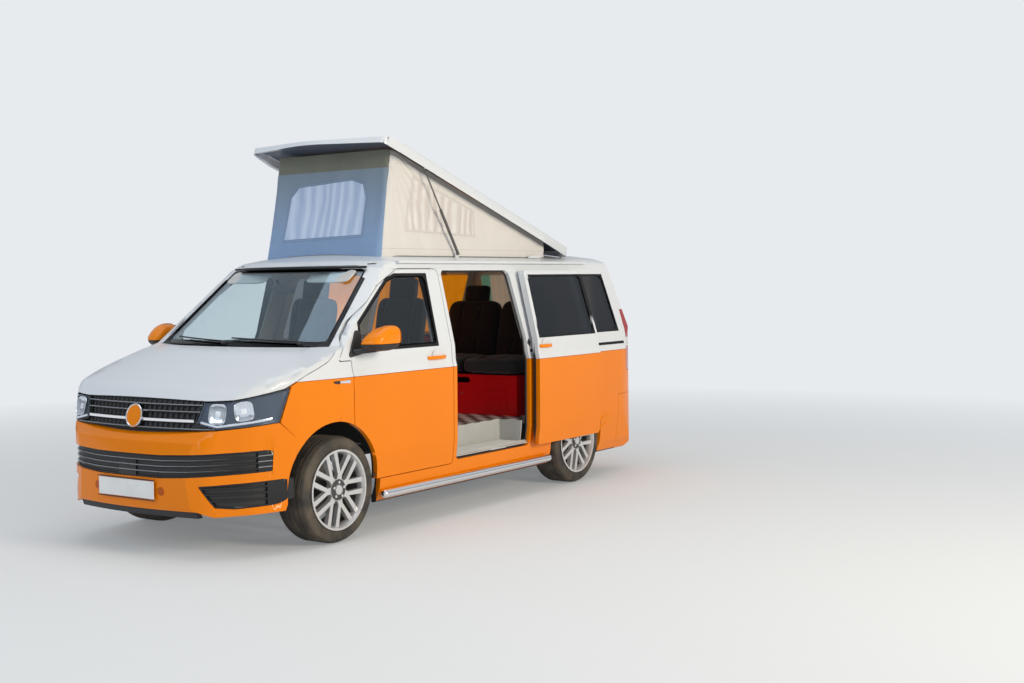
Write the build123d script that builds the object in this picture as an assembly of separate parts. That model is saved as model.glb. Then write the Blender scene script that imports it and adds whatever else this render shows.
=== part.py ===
from build123d import *
import math
import os

# Two-tone camper van with a raised pop-top roof, in mm.
# X points forward, Y to the van's left, Z up. The origin is on the ground at mid-length.

# Overall sizes of the body
LENGTH = 4950
WIDTH = 1904
ROOF_TOP_Z = 1946
BODY_BOTTOM_Z = 205
NOSE_X = LENGTH / 2
TAIL_X = -LENGTH / 2
HALF_WIDTH = WIDTH / 2

# Heights that panels share
BELT_Z = 1085
WINDOW_BOTTOM_Z = 1262
WINDOW_TOP_Z = 1742
WINDOW_MARGIN = 48
DOOR_BOTTOM_Z = 375
DOOR_TOP_Z = 1800
ROOF_SEAM_Z = 1838
FLOOR_Z = 600
FLOOR_THICKNESS = 30

# Wall and gap sizes
WALL = 50
SKIN = 22
SEAT_CLEARANCE = 0.3
SEAM = 3
DOOR_GAP = 6
DOOR_SWING_ROOM = 30
GLASS_SINK = 8
GLASS_THICKNESS = 5

# Wheels and axles
WHEELBASE = 3000
FRONT_AXLE_X = 1515
REAR_AXLE_X = FRONT_AXLE_X - WHEELBASE
TYRE_RADIUS = 352
TYRE_WIDTH = 250
RIM_RADIUS = 262
TRACK = 1628
WHEEL_Y = TRACK / 2
SPINDLE_RADIUS = 22
BORE_CLEARANCE = 0.5
DISC_RADIUS = 165
DISC_THICKNESS = 26
SPOKE_PAIRS = 7
SPOKE_APEX_RADIUS = 104
SPOKE_SPREAD = 17.1
SPOKE_DEPTH = 34
SPOKE_SINK = 14
SPOKE_STEM_WIDTHS = (46, 40)
SPOKE_ARM_WIDTHS = (26, 34)
SPOKE_TIP_RADIUS = RIM_RADIUS - 16
HUB_RADIUS = 74
CAP_RADIUS = 32

# Wheel arches
ARCH_Z = 385
FRONT_ARCH_X = 1540
FRONT_ARCH_RADIUS = 418
REAR_ARCH_RADIUS = 400
LINER_STEP = 32
LINER_THICKNESS = 6
FRONT_WELL_Y = 480
REAR_WELL_Y = 610

# Front doors and the side door opening
DOOR_REAR_X = 268
DOOR_FRONT_X = 1362
HINGE_X = DOOR_FRONT_X + DOOR_GAP / 2
HINGE_Y = HALF_WIDTH + 2
HINGE_RADIUS = 5
HINGE_LENGTH = 70
HINGE_LOWS = [830, 1010]
PILLAR_WIDTH = 46
OPENING_LENGTH = 967
OPENING_REAR_X = DOOR_REAR_X - PILLAR_WIDTH - OPENING_LENGTH
SLIDE_TRAVEL = 975
SLIDE_OUT = 86

# The nose is a curve turned about an upright axis inside the van
BELL_X = -525

# Pop-top roof
LID_HINGE_X = -1840
LID_HINGE_Z = 1925
LID_ANGLE = 17.9
LID_PIN_RADIUS = 6
LID_FRONT_X = 900
LID_REAR_X = -1868
LID_HALF_WIDTH = 686
LID_THICKNESS = 24
LID_ROOF_GAP = 16
STRUT_Y = 632
STRUT_RADIUS = 11
STRUT_FOOT_X = -250
STRUT_FOOT_Z = 1915
STRUT_EYE_X = 163
STRUT_EYE_Z = 2552

# Bonnet and tailgate
BONNET_REAR_RADIUS = 2152
BONNET_FLANGE = 45
TAIL_HINGE_X = -2325
TAIL_HINGE_Z = 1871
TAIL_HINGE_Y = 430
TAIL_HINGE_RADIUS = 7

# Grilles and vents of the nose; each bar's row gives its middle height and thickness
NOSE_REAR_X = 1900
GRILLE_SLATS = [(958, 9), (916, 9), (862, 22), (811, 9)]
MID_SLATS = [(543, 9), (578, 9), (613, 9)]
MID_BEND_Y = 300
MID_RISE = 24
MID_END_Y = 826
VENT_SLATS = [(372, 9), (412, 9), (450, 9)]
VENT_END_Y = 850
SLAT_MARGIN = 9
PANEL_SINK = 12
SENSOR_HALF_WIDTH = 80
SENSOR_TOP_Z = 615
BADGE_Z = 879
BADGE_X = NOSE_X - 90
BADGE_RADIUS = 76
BADGE_LENGTH = 34
BADGE_TILT = 13

# Number plates and the pads behind them
PLATE_WIDTH = 520
PLATE_HEIGHT = 111
PLATE_THICKNESS = 4
PLATE_PAD_Y = 180
FRONT_PLATE_Z = 430
REAR_PLATE_Z = 930

# Roof opening and awning rail
APERTURE_FRONT_X = 520
APERTURE_REAR_X = -1600
APERTURE_HALF_WIDTH = 520
RAIL_REAR_X = -1950
RAIL_FRONT_X = 640
RAIL_OUTER_Y = 762
RAIL_Z = ROOF_SEAM_Z + 14

# Door mirrors
MIRROR_REAR_X = 1085
MIRROR_FRONT_X = 1345
MIRROR_IN_Y = 985
MIRROR_OUT_Y = 1148
MIRROR_LOW_Z = 1248
MIRROR_HIGH_Z = 1418
MIRROR_CORNER = 45

# Floor, step well and bulkhead
BULKHEAD_X = 1090
STEP_REAR_X = -690
STEP_FRONT_X = 150
STEP_INNER_Y = 690
STEP_Z = 430
LINER_OUTER_Y = 900

# Cab and living space
CAB_SEAT_Y = 445
DASH_HALF_WIDTH = 778
COLUMN_X = 1060
COLUMN_Z = 1060
STEERING_TILT = 32
STEERING_WHEEL_RADIUS = 190
STEERING_GAP = 8
BENCH_RIGHT_Y = -420
BENCH_LEFT_Y = 720
BENCH_FRONT_X = -900
BENCH_TOP_Z = 930
SEAT_FOAM = 150
CABINET_Y = -480
CABINET_FRONT_X = -150
CABINET_REAR_X = -2300
CABINET_TOP_Z = 1225

# Axle ends and suspension
SPINDLE_END_Y = WHEEL_Y + TYRE_WIDTH / 2 - 40
DISC_INNER_Y = WHEEL_Y - TYRE_WIDTH / 2 + 50
UPRIGHT_Y = DISC_INNER_Y - 12
ARM_Z = 200
TOWER_Z = 815
RAIL_TOP = 560

# Sill bars
SILL_BAR_FRONT_X = 1085
SILL_BAR_REAR_X = -1040
SILL_BAR_Y = 942
SILL_BAR_Z = 262
SILL_BAR_RADIUS = 30

# Roof canvas and struts
CANVAS_HALF_WIDTH = 590
CANVAS_WALL = 12
CANVAS_REAR_X = -1560
CANVAS_FRONT_X = 620
CANVAS_LEAN = 160
CANVAS_TOP_SHUT_Z = 1934
STRUT_TUBE = 400
STRUT_ROD = 390

# Body cross-section: y, z, corner radius
SECTION = [
    (HALF_WIDTH - 72, BODY_BOTTOM_Z - 5, 30),
    (HALF_WIDTH - 34, BODY_BOTTOM_Z + 95, 60),
    (HALF_WIDTH - 3, 548, 40),
    (HALF_WIDTH + 2, BELT_Z, 14),
    (HALF_WIDTH - 14, BELT_Z + 50, 60),
    (HALF_WIDTH - 27, 1240, 400),
    (HALF_WIDTH - 200, 1800, 60),
    (HALF_WIDTH - 228, ROOF_TOP_Z - 90, 40),
    (HALF_WIDTH - 312, ROOF_TOP_Z - 58, 200),
]
SECTION_CROWN = (0, ROOF_TOP_Z + 36, 3600)

# Body plan: x, half-width, corner radius
PLAN = [
    (TAIL_X + 5, 700, 400),
    (TAIL_X + 23, HALF_WIDTH - 47, 70),
    (TAIL_X + 175, HALF_WIDTH - 6, 600),
    (-1600, HALF_WIDTH + 5, 8000),
    (1450, HALF_WIDTH + 5, 4000),
    (NOSE_X - 515, HALF_WIDTH - 37, 900),
    (NOSE_X - 285, HALF_WIDTH - 147, 450),
    (NOSE_X - 100, HALF_WIDTH - 322, 300),
    (NOSE_X + 25, 350, 0),
]

# Space in front of and above the nose and windscreen: x, z, corner radius
NOSE_CUT = [
    (NOSE_X - 115, 100, 0),
    (NOSE_X - 45, BODY_BOTTOM_Z + 10, 20),
    (NOSE_X - 5, 330, 60),
    (NOSE_X + 3, 560, 150),
    (NOSE_X - 13, 735, 25),
    (NOSE_X - 50, 770, 8),
    (NOSE_X - 70, 800, 10),
    (NOSE_X - 113, 985, 25),
    (NOSE_X - 190, 1062, 180),
    (1605, 1290, 10),
    (1000, 1812, 100),
    (900, 1862, 120),
    (500, ROOF_TOP_Z - 8, 900),
    (0, ROOF_TOP_Z + 29, 0),
    (0, 2600, 0),
    (3300, 2600, 0),
    (3300, 100, 0),
]

# Side view of the tail: x, z, corner radius
TAIL_CURVE = [
    (TAIL_X + 225, 150, 0),
    (TAIL_X + 35, 240, 40),
    (TAIL_X + 1, 420, 60),
    (TAIL_X - 1, 640, 20),
    (TAIL_X + 23, 690, 10),
    (TAIL_X + 27, 1100, 300),
    (TAIL_X + 145, 1870, 60),
    (TAIL_X + 225, ROOF_TOP_Z - 11, 80),
    (-2000, ROOF_TOP_Z + 44, 0),
    (3000, ROOF_TOP_Z + 44, 0),
    (3000, 150, 0),
]

# Panel outlines in side view: x, z, corner radius
DOOR_OUTLINE = [
    (DOOR_REAR_X, DOOR_BOTTOM_Z, 25),
    (DOOR_FRONT_X, DOOR_BOTTOM_Z, 0),
    (DOOR_FRONT_X, 1195, 12),
    (DOOR_FRONT_X + 128, 1195, 12),
    (1313, 1400, 500),
    (905, 1690, 250),
    (655, DOOR_TOP_Z, 150),
    (DOOR_REAR_X - 78, DOOR_TOP_Z, 40),
    (DOOR_REAR_X, BELT_Z, 60),
]
SIDE_OPENING = [
    (DOOR_REAR_X - PILLAR_WIDTH, DOOR_BOTTOM_Z + 20, 30),
    (DOOR_REAR_X - PILLAR_WIDTH, BELT_Z, 60),
    (DOOR_REAR_X - PILLAR_WIDTH - 74, DOOR_TOP_Z - 10, 40),
    (OPENING_REAR_X, DOOR_TOP_Z - 10, 60),
    (OPENING_REAR_X, DOOR_BOTTOM_Z + 20, 30),
]
DOOR_WINDOW = [
    (DOOR_REAR_X + 144, WINDOW_BOTTOM_Z, 25),
    (1240, WINDOW_BOTTOM_Z, 10),
    (1205, 1430, 20),
    (800, 1720, 120),
    (700, WINDOW_TOP_Z + 10, 40),
    (DOOR_REAR_X + 84, WINDOW_TOP_Z + 10, 50),
]
MIDDLE_WINDOW = [
    (OPENING_REAR_X + WINDOW_MARGIN, WINDOW_BOTTOM_Z, 40),
    (OPENING_REAR_X + WINDOW_MARGIN, WINDOW_TOP_Z, 40),
    (DOOR_REAR_X - PILLAR_WIDTH - 70 - WINDOW_MARGIN, WINDOW_TOP_Z, 40),
    (DOOR_REAR_X - PILLAR_WIDTH - 20 - WINDOW_MARGIN, WINDOW_BOTTOM_Z, 40),
]
REAR_WINDOW = [
    (-2225, WINDOW_BOTTOM_Z, 60),
    (-2190, WINDOW_TOP_Z, 60),
    (OPENING_REAR_X - 150, WINDOW_TOP_Z, 60),
    (OPENING_REAR_X - 150, WINDOW_BOTTOM_Z, 60),
]
BONNET_OUTLINE = [
    (NOSE_X + 100, 1002, 0),
    (NOSE_X - 113, 1000, 0),
    (NOSE_X - 168, 985, 30),
    (NOSE_X - 510, 1050, 60),
    (1800, 1125, 200),
    (1590, 1200, 200),
    (1465, 1290, 60),
    (1440, 1400, 0),
    (1440, 1500, 0),
    (NOSE_X + 100, 1500, 0),
]
WING_OUTLINE = [
    (DOOR_FRONT_X + DOOR_GAP, BODY_BOTTOM_Z, 0),
    (DOOR_FRONT_X + DOOR_GAP, 1195 - DOOR_GAP, 12),
    (DOOR_FRONT_X + 138, 1195 - DOOR_GAP, 12),
    (1420, 1290, 0),
    (1462, 1290, 0),
    (1590, 1196, 200),
    (1800, 1121, 200),
    (NOSE_X - 563, 1061, 10),
    (NOSE_X - 480, 838, 20),
    (NOSE_X - 587, 737, 0),
    (NOSE_X - 587, BODY_BOTTOM_Z, 0),
]
BUMPER_OUTLINE = [
    (NOSE_X + 100, 768, 0),
    (NOSE_X - 50, 768, 0),
    (NOSE_X - 145, 806, 100),
    (NOSE_X - 445, 836, 0),
    (NOSE_X - 475, 836, 0),
    (NOSE_X - 587, 733, 0),
    (NOSE_X - 587, 500, 0),
    (NOSE_X - 500, 275, 0),
    (NOSE_X - 440, 100, 0),
    (NOSE_X + 100, 100, 0),
]
LAMP_OUTLINE = [
    (NOSE_X + 100, 999, 0),
    (NOSE_X - 113, 997, 0),
    (NOSE_X - 168, 982, 30),
    (NOSE_X - 500, 1045, 60),
    (NOSE_X - 560, 1056, 12),
    (NOSE_X - 476, 840, 20),
    (NOSE_X - 445, 840, 0),
    (NOSE_X - 145, 810, 100),
    (NOSE_X - 50, 771, 0),
    (NOSE_X + 100, 771, 0),
]

# Panel outlines in end view: half-width, z, corner radius
BUMPER_FOOT = [
    (1000, 100, 0),
    (1000, 286, 0),
    (655, 272, 20),
    (560, 306, 20),
]
LIP_TOP_Z = 305.7
LIP_BOTTOM_Z = 262
LIP_HALF_WIDTH = 548
LIP_REAR_X = 2200
GRILLE_EDGE = [(690, 804, 0), (506, 846, 20), (552, 1010, 0)]
MID_EDGE = [(MID_BEND_Y, 506, 200), (868, 540, 10), (872, 676, 20), (MID_BEND_Y, 652, 200)]
SIDE_VENT = [(560, 466, 10), (900, 486, 10), (900, 330, 40), (735, 318, 10), (650, 330, 10)]
WINDSCREEN_EDGE = [(788, 1296, 60), (652, 1806, 60)]
TAILGATE_EDGE = [(800, 700, 40), (792, 1150, 100), (668, 1868, 60)]
TAIL_WINDOW_EDGE = [(620, 1195, 70), (560, 1745, 80)]
TAIL_LAMP_FRONT_X = TAIL_X + 130
REAR_BUMPER_FRONT_X = -2170
REAR_BUMPER_TOP_Z = 692

# Dashboard in side view: x, z, corner radius
DASH_ROWS = [
    (1309.7, 968, 0),
    (1309.7, 1150, 20),
    (1240, 1190, 40),
    (1090, 1178, 40),
    (1030, 1090, 40),
    (1060, 985, 40),
    (1130, 968, 20),
]

# The lid shut: half section (y, z, radius), half plan (x, half-width, radius), side view (x, z, radius)
LID_SECTION = [
    (LID_HALF_WIDTH - 12, 1860, 0),
    (LID_HALF_WIDTH, 1915, 20),
    (LID_HALF_WIDTH - 8, 1968, 30),
    (LID_HALF_WIDTH - 100, 2002, 150),
]
LID_CROWN = (0, 2060, 3000)
LID_PLAN = [
    (LID_REAR_X, LID_HALF_WIDTH - 50, 80),
    (LID_REAR_X + 500, LID_HALF_WIDTH + 2, 900),
    (LID_FRONT_X - 400, LID_HALF_WIDTH + 2, 900),
    (LID_FRONT_X - 125, LID_HALF_WIDTH - 32, 60),
    (LID_FRONT_X, 0, 900),
]
LID_SIDE = [
    (LID_REAR_X - 50, 1800, 0),
    (LID_REAR_X - 5, 1985, 50),
    (LID_REAR_X + 300, 2046, 500),
    (300, 2018, 1500),
    (LID_FRONT_X - 180, 1965, 300),
    (LID_FRONT_X + 5, 1905, 12),
    (LID_FRONT_X + 5, 1800, 0),
]


def outline(plane, rows, grow=0.0):
    """A closed face on a plane from rows of two places and a corner radius."""
    points = [(row[0], row[1]) for row in rows]
    radii = [row[2] for row in rows]
    face = plane * make_face(FilletPolyline(*points, radius=radii, close=True).edges())
    if grow:
        face = offset(face, grow, kind=Kind.INTERSECTION)
    return face


def both_sides(rows):
    """Rows for one side of a shape that is the same on both, run round the whole shape."""
    return list(rows) + [(-row[0], row[1], row[2]) for row in reversed(rows)]


def side_prism(rows, y_low, y_high, grow=0.0):
    """An outline in side view (x, z), run from one y to another."""
    plane = Plane(origin=(0, y_high, 0), x_dir=(1, 0, 0), z_dir=(0, -1, 0))
    return extrude(outline(plane, rows, grow), amount=y_high - y_low)


def end_prism(rows, x_low, x_high, grow=0.0):
    """An outline in end view (y, z), run from one x to another."""
    return extrude(outline(Plane.YZ.offset(x_low), rows, grow), amount=x_high - x_low)


def plan_prism(rows, z_low, z_high, grow=0.0):
    """An outline in plan (x, y), run from one z to another."""
    return extrude(outline(Plane.XY.offset(z_low), rows, grow), amount=z_high - z_low)


def block(x_low, x_high, y_low, y_high, z_low, z_high, radius=0.0):
    """A box between two corners, with its edges rounded if a radius is given."""
    y_low, y_high = sorted((y_low, y_high))
    size = (x_high - x_low, y_high - y_low, z_high - z_low)
    middle = ((x_low + x_high) / 2, (y_low + y_high) / 2, (z_low + z_high) / 2)
    box = Pos(*middle) * Box(*size)
    return fillet(box.edges(), radius) if radius else box


def mirrored(shape):
    """The same shape on the other side of the van."""
    return mirror(shape, about=Plane.XZ)


def cross_rod(x, z, radius, y_low, y_high):
    """A round bar along Y."""
    rod = Cylinder(radius, y_high - y_low, rotation=(90, 0, 0))
    return Pos(x, (y_low + y_high) / 2, z) * rod


def upright_rod(x, y, radius, z_low, z_high):
    """A round bar along Z."""
    return Pos(x, y, (z_low + z_high) / 2) * Cylinder(radius, z_high - z_low)


def section_rows():
    """The body's cross-section all the way round."""
    right = [(-y, z, r) for y, z, r in reversed(SECTION)]
    return SECTION + [SECTION_CROWN] + right


def section_bar(inset):
    """The cross-section, drawn in by an inset, run along the whole van."""
    face = outline(Plane.YZ, section_rows(), -inset)
    return extrude(face, amount=LENGTH / 2 + 200, both=True)


def nose_space(inset):
    """What the nose and windscreen leave free, turned about the upright axis."""
    face = outline(Plane.XZ, NOSE_CUT, inset)
    axis = Axis((BELL_X, 0, 0), (0, 0, 1))
    return revolve(face, axis=axis, revolution_arc=110).rotate(axis, -55)


def body_solid(inset):
    """The body as one solid, drawn in by an inset: the section, plan and tail, less the nose space."""
    plan_rows = PLAN + [(x, -half, r) for x, half, r in reversed(PLAN)]
    plan = extrude(outline(Plane.XY, plan_rows, -inset), amount=2600)
    tail = extrude(outline(Plane.XZ, TAIL_CURVE, -inset), amount=1300, both=True)
    return (section_bar(inset) & plan & tail) - nose_space(inset)


# The body's outer face, the back of its fixed outer panels, and its inner face
OUTER = body_solid(0)
BEHIND_SKIN = body_solid(SKIN)
STRUCTURE_FACE = body_solid(SKIN + SEAT_CLEARANCE)
INNER = body_solid(WALL)

NODES = {}


def keep(name, *shapes):
    """Add a sub-part made of one or more solids."""
    solids = []
    for shape in shapes:
        solids.extend(shape.solids())
    NODES[name] = Compound(children=solids) if len(solids) > 1 else solids[0]


def arch_cutter(x, radius, y_inner):
    """The round hole of a wheel arch on both sides, from the outside in to the well."""
    left = cross_rod(x, ARCH_Z, radius, y_inner, HALF_WIDTH + 60)
    below = block(x - radius, x + radius, y_inner, HALF_WIDTH + 60, 0, ARCH_Z)
    left = left + below
    return left + mirrored(left)


FRONT_ARCHES = arch_cutter(FRONT_ARCH_X, FRONT_ARCH_RADIUS, FRONT_WELL_Y)
REAR_ARCHES = arch_cutter(REAR_AXLE_X, REAR_ARCH_RADIUS, REAR_WELL_Y)
LINER_MIDDLE = LINER_STEP + LINER_THICKNESS / 2
LINER_CLEAR = LINER_STEP + LINER_THICKNESS + SEAT_CLEARANCE
FRONT_WELLS = arch_cutter(FRONT_ARCH_X, FRONT_ARCH_RADIUS + LINER_CLEAR, FRONT_WELL_Y - SEAT_CLEARANCE)
REAR_WELLS = arch_cutter(REAR_AXLE_X, REAR_ARCH_RADIUS + LINER_CLEAR, REAR_WELL_Y - SEAT_CLEARANCE)

# What stays open under the floor, between the sills
UNDERSIDE = block(TAIL_X + 130, NOSE_X - 180, -(HALF_WIDTH - 112), HALF_WIDTH - 112, 0, 330)

# Prisms of the panels; wide ones run across the whole van
FAR_Y = HALF_WIDTH + 100
WINDSCREEN = both_sides(WINDSCREEN_EDGE)
bonnet_zone = side_prism(BONNET_OUTLINE, -FAR_Y, FAR_Y) - upright_rod(BELL_X, 0, BONNET_REAR_RADIUS, 900, 1600)
bonnet_hole = side_prism(BONNET_OUTLINE, -FAR_Y, FAR_Y, DOOR_GAP) - upright_rod(
    BELL_X, 0, BONNET_REAR_RADIUS - DOOR_GAP, 900, 1600
)
grille_zone = end_prism(both_sides(GRILLE_EDGE), NOSE_REAR_X, NOSE_X + 60)
grille_hole = end_prism(both_sides(GRILLE_EDGE), NOSE_REAR_X, NOSE_X + 60, SEAM)
lamp_zone = side_prism(LAMP_OUTLINE, -FAR_Y, FAR_Y)
wing_zone = side_prism(WING_OUTLINE, -FAR_Y, FAR_Y)
bumper_zone = side_prism(BUMPER_OUTLINE, -FAR_Y, FAR_Y)


def hinge_barrels(grow):
    """The barrels of both front doors' hinges, upright in the gap at the front edge."""
    barrels = []
    for sign in (-1, 1):
        for low in HINGE_LOWS:
            barrels.append(
                upright_rod(HINGE_X, sign * HINGE_Y, HINGE_RADIUS + grow, low - grow, low + HINGE_LENGTH + grow)
            )
    return barrels[0] + barrels[1] + barrels[2] + barrels[3]


def front_panels():
    """Bonnet, wings, bumper, grille and headlamps, and the frame that they sit on."""
    front = block(1300, NOSE_X + 60, -FAR_Y, FAR_Y, 150, 1450)
    skin = (OUTER & front) - BEHIND_SKIN
    bonnet = skin & bonnet_zone
    wings = (skin & wing_zone) - bonnet_hole - FRONT_ARCHES - UNDERSIDE - hinge_barrels(SEAT_CLEARANCE)
    lamps = (skin & lamp_zone) - grille_hole - bonnet_hole
    grille = ((skin & lamp_zone) & grille_zone) - bonnet_hole
    foot = end_prism(both_sides(BUMPER_FOOT), 1800, NOSE_X + 60)
    bumper = (skin & bumper_zone) - FRONT_ARCHES - foot
    frame_front = block(DOOR_FRONT_X + DOOR_GAP, NOSE_X + 60, -FAR_Y, FAR_Y, 150, 1290)
    seat_flange = side_prism(BONNET_OUTLINE, -FAR_Y, FAR_Y, -BONNET_FLANGE) - upright_rod(
        BELL_X, 0, BONNET_REAR_RADIUS, 900, 1600
    )
    frame = (STRUCTURE_FACE & frame_front) - INNER - seat_flange - FRONT_WELLS
    frame = frame - UNDERSIDE - block(1880, NOSE_X + 60, -FAR_Y, FAR_Y, 100, LIP_TOP_Z + SEAM)
    door_space = side_prism(DOOR_OUTLINE, -FAR_Y, FAR_Y, DOOR_GAP)
    frame = frame - door_space
    wings = wings - door_space
    return bonnet, wings, lamps, grille, bumper, frame


bonnet, wings, lamps, grille, bumper, front_frame = front_panels()


def largest(shape, count):
    """The largest solids of a cut, leaving slivers out."""
    return sorted(shape.solids(), key=lambda solid: -solid.volume)[:count]


mid_hole = end_prism(both_sides(MID_EDGE), NOSE_REAR_X, NOSE_X + 60)
vent_hole = end_prism(SIDE_VENT, NOSE_REAR_X, NOSE_X + 60)
vent_holes = vent_hole + mirrored(vent_hole)


def cross_bar(z, height, rise, half_width):
    """A level bar across the nose in end view, bent up by a rise towards both ends."""
    low, high = z - height / 2, z + height / 2
    rows = [
        (MID_BEND_Y, low, MID_BEND_Y),
        (half_width, low + rise, 0),
        (half_width, high + rise, 0),
        (MID_BEND_Y, high, MID_BEND_Y),
    ]
    if not rise:
        rows = [(half_width, low, 0), (half_width, high, 0)]
    return end_prism(both_sides(rows), NOSE_REAR_X, NOSE_X + 60)


def upper_grille(panel):
    """The grille panel cut through between its bars, with a round plain badge on the middle."""
    holes = end_prism(both_sides(GRILLE_EDGE), NOSE_REAR_X, NOSE_X + 60, -SLAT_MARGIN)
    for z, height in GRILLE_SLATS:
        holes = holes - cross_bar(z, height, 0, HALF_WIDTH)
    badge_plane = Plane(origin=(BADGE_X, 0, BADGE_Z), z_dir=(1, 0, math.tan(math.radians(BADGE_TILT))))
    badge = badge_plane * Cylinder(BADGE_RADIUS, BADGE_LENGTH)
    return (panel - holes) + badge


def lower_grille():
    """The sunk black panels in the bumper: the wide one with its bars and sensor box, and both vents."""
    sunk = (Pos(-PANEL_SINK, 0, 0) * OUTER & block(NOSE_REAR_X, NOSE_X, -FAR_Y, FAR_Y, 300, 700)) & OUTER
    layer = sunk - BEHIND_SKIN
    wide = layer & end_prism(both_sides(MID_EDGE), NOSE_REAR_X, NOSE_X + 60, -SEAT_CLEARANCE)
    holes = end_prism(both_sides(MID_EDGE), NOSE_REAR_X, NOSE_X + 60, -SLAT_MARGIN)
    holes = holes & block(NOSE_REAR_X, NOSE_X + 60, -MID_END_Y, MID_END_Y, 400, 800)
    for z, height in MID_SLATS:
        holes = holes - cross_bar(z, height, MID_RISE, HALF_WIDTH)
    sensor = block(NOSE_REAR_X, NOSE_X + 60, -SENSOR_HALF_WIDTH, SENSOR_HALF_WIDTH, 500, SENSOR_TOP_Z)
    holes = holes - sensor
    vent = layer & end_prism(SIDE_VENT, NOSE_REAR_X, NOSE_X + 60, -SEAT_CLEARANCE)
    vent_gaps = end_prism(SIDE_VENT, NOSE_REAR_X, NOSE_X + 60, -SLAT_MARGIN)
    vent_gaps = vent_gaps & block(NOSE_REAR_X, NOSE_X, 0, VENT_END_Y, 300, 500)
    for z, height in VENT_SLATS:
        vent_gaps = vent_gaps - block(NOSE_REAR_X, NOSE_X, 0, FAR_Y, z - height / 2, z + height / 2)
    vent = largest(vent - vent_gaps, 1)[0]
    return [largest(wide - holes, 1)[0], vent, mirrored(vent)]


def front_lip():
    """The black lip under the bumper's middle, set back from its face."""
    zone = block(LIP_REAR_X, NOSE_X + 60, -LIP_HALF_WIDTH, LIP_HALF_WIDTH, LIP_BOTTOM_Z, LIP_TOP_Z)
    return ((Pos(-14, 0, 0) * OUTER) & zone) - Pos(-50, 0, 0) * OUTER


def plate(x_face, x_pad, z):
    """A blank number plate on two pads, facing along X."""
    low, high = sorted((x_face, x_face + math.copysign(PLATE_THICKNESS, -x_face)))
    board = block(low, high, -PLATE_WIDTH / 2, PLATE_WIDTH / 2, z - PLATE_HEIGHT / 2, z + PLATE_HEIGHT / 2)
    for sign in (-1, 1):
        pad_low, pad_high = sorted((x_pad, x_face - math.copysign(PLATE_THICKNESS, x_face)))
        pad_y = sign * PLATE_PAD_Y
        board = board + block(pad_low, pad_high, pad_y - 20, pad_y + 20, z - 30, z + 30)
    return board


front_plate = plate(NOSE_X + 7, NOSE_X - 30, FRONT_PLATE_Z) - OUTER
keep("lower_grille", *lower_grille())
keep("front_lip", *largest(front_lip(), 1))
keep("front_plate", *largest(front_plate, 1))
keep("front_bumper", *largest(bumper - mid_hole - vent_holes, 1))
keep("bonnet", *largest(bonnet, 1))
keep("front_wings", *largest(wings, 2))
keep("headlamps", *largest(lamps, 2))
keep("grille", *largest(upper_grille(largest(grille, 1)[0]), 1))
keep("front_frame", *largest(front_frame, 1))


def windows():
    """Windscreen and side glass."""
    sunk = section_bar(GLASS_SINK)
    back = section_bar(GLASS_SINK + GLASS_THICKNESS)
    layer = sunk - back
    low = HALF_WIDTH - 300
    panes = {}
    tables = {"door": DOOR_WINDOW, "middle": MIDDLE_WINDOW, "rear": REAR_WINDOW}
    for name, rows in tables.items():
        panes[name] = layer & side_prism(rows, low, FAR_Y, -SEAT_CLEARANCE)
    screen_layer = nose_space(GLASS_SINK + GLASS_THICKNESS) - nose_space(GLASS_SINK)
    screen_zone = end_prism(WINDSCREEN, 700, 1900, -SEAT_CLEARANCE)
    panes["screen"] = screen_layer & screen_zone
    return panes


panes = windows()
keep("windscreen", panes["screen"])


def body_sides():
    """Both body sides, with pillars, sills and quarter panels, and the roof."""
    shell = OUTER - INNER
    roof_rows = [
        (TAIL_X - 60, ROOF_SEAM_Z, 0),
        (800, ROOF_SEAM_Z, 100),
        (950, 1812, 0),
        (1300, 1812, 0),
        (1300, 2100, 0),
        (TAIL_X - 60, 2100, 0),
    ]
    roof_zone = side_prism(roof_rows, -FAR_Y, FAR_Y)
    roof = shell & roof_zone
    rest = shell - side_prism(roof_rows, -FAR_Y, FAR_Y, SEAT_CLEARANCE)
    door_space = side_prism(DOOR_OUTLINE, 560, FAR_Y, DOOR_GAP)
    door_space = door_space & (section_bar(-20) - section_bar(WALL + DOOR_SWING_ROOM))
    left_opening = side_prism(SIDE_OPENING, 560, FAR_Y)
    rear_window = side_prism(REAR_WINDOW, 560, FAR_Y)
    middle_window = side_prism(MIDDLE_WINDOW, 560, FAR_Y)
    front_cut = block(DOOR_FRONT_X + DOOR_GAP - SEAT_CLEARANCE, NOSE_X + 60, -FAR_Y, FAR_Y, 100, 1290 + SEAT_CLEARANCE)
    tail_cut = end_prism(both_sides(TAILGATE_EDGE), TAIL_X - 60, TAIL_X + 200, DOOR_GAP)
    lamp_cut = block(TAIL_X - 60, TAIL_LAMP_FRONT_X + SEAM, 0, FAR_Y, 895, 1440) - STRUCTURE_FACE
    bumper_cut = block(TAIL_X - 60, REAR_BUMPER_FRONT_X + SEAM, 0, FAR_Y, 0, REAR_BUMPER_TOP_Z + SEAM)
    left = rest & block(TAIL_X - 60, NOSE_X + 60, 0, FAR_Y, 0, 2000)
    left = left - door_space - front_cut - end_prism(WINDSCREEN, 700, 1900) - tail_cut
    left = left - (bumper_cut - STRUCTURE_FACE) - lamp_cut - UNDERSIDE - FRONT_WELLS - REAR_ARCHES
    left = left - block(TAIL_X - 60, TAIL_X + 200, 0, 700, 0, 700)
    left = left - rear_window
    right = mirrored(left - middle_window)
    left = left - left_opening
    return roof, left, right


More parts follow.
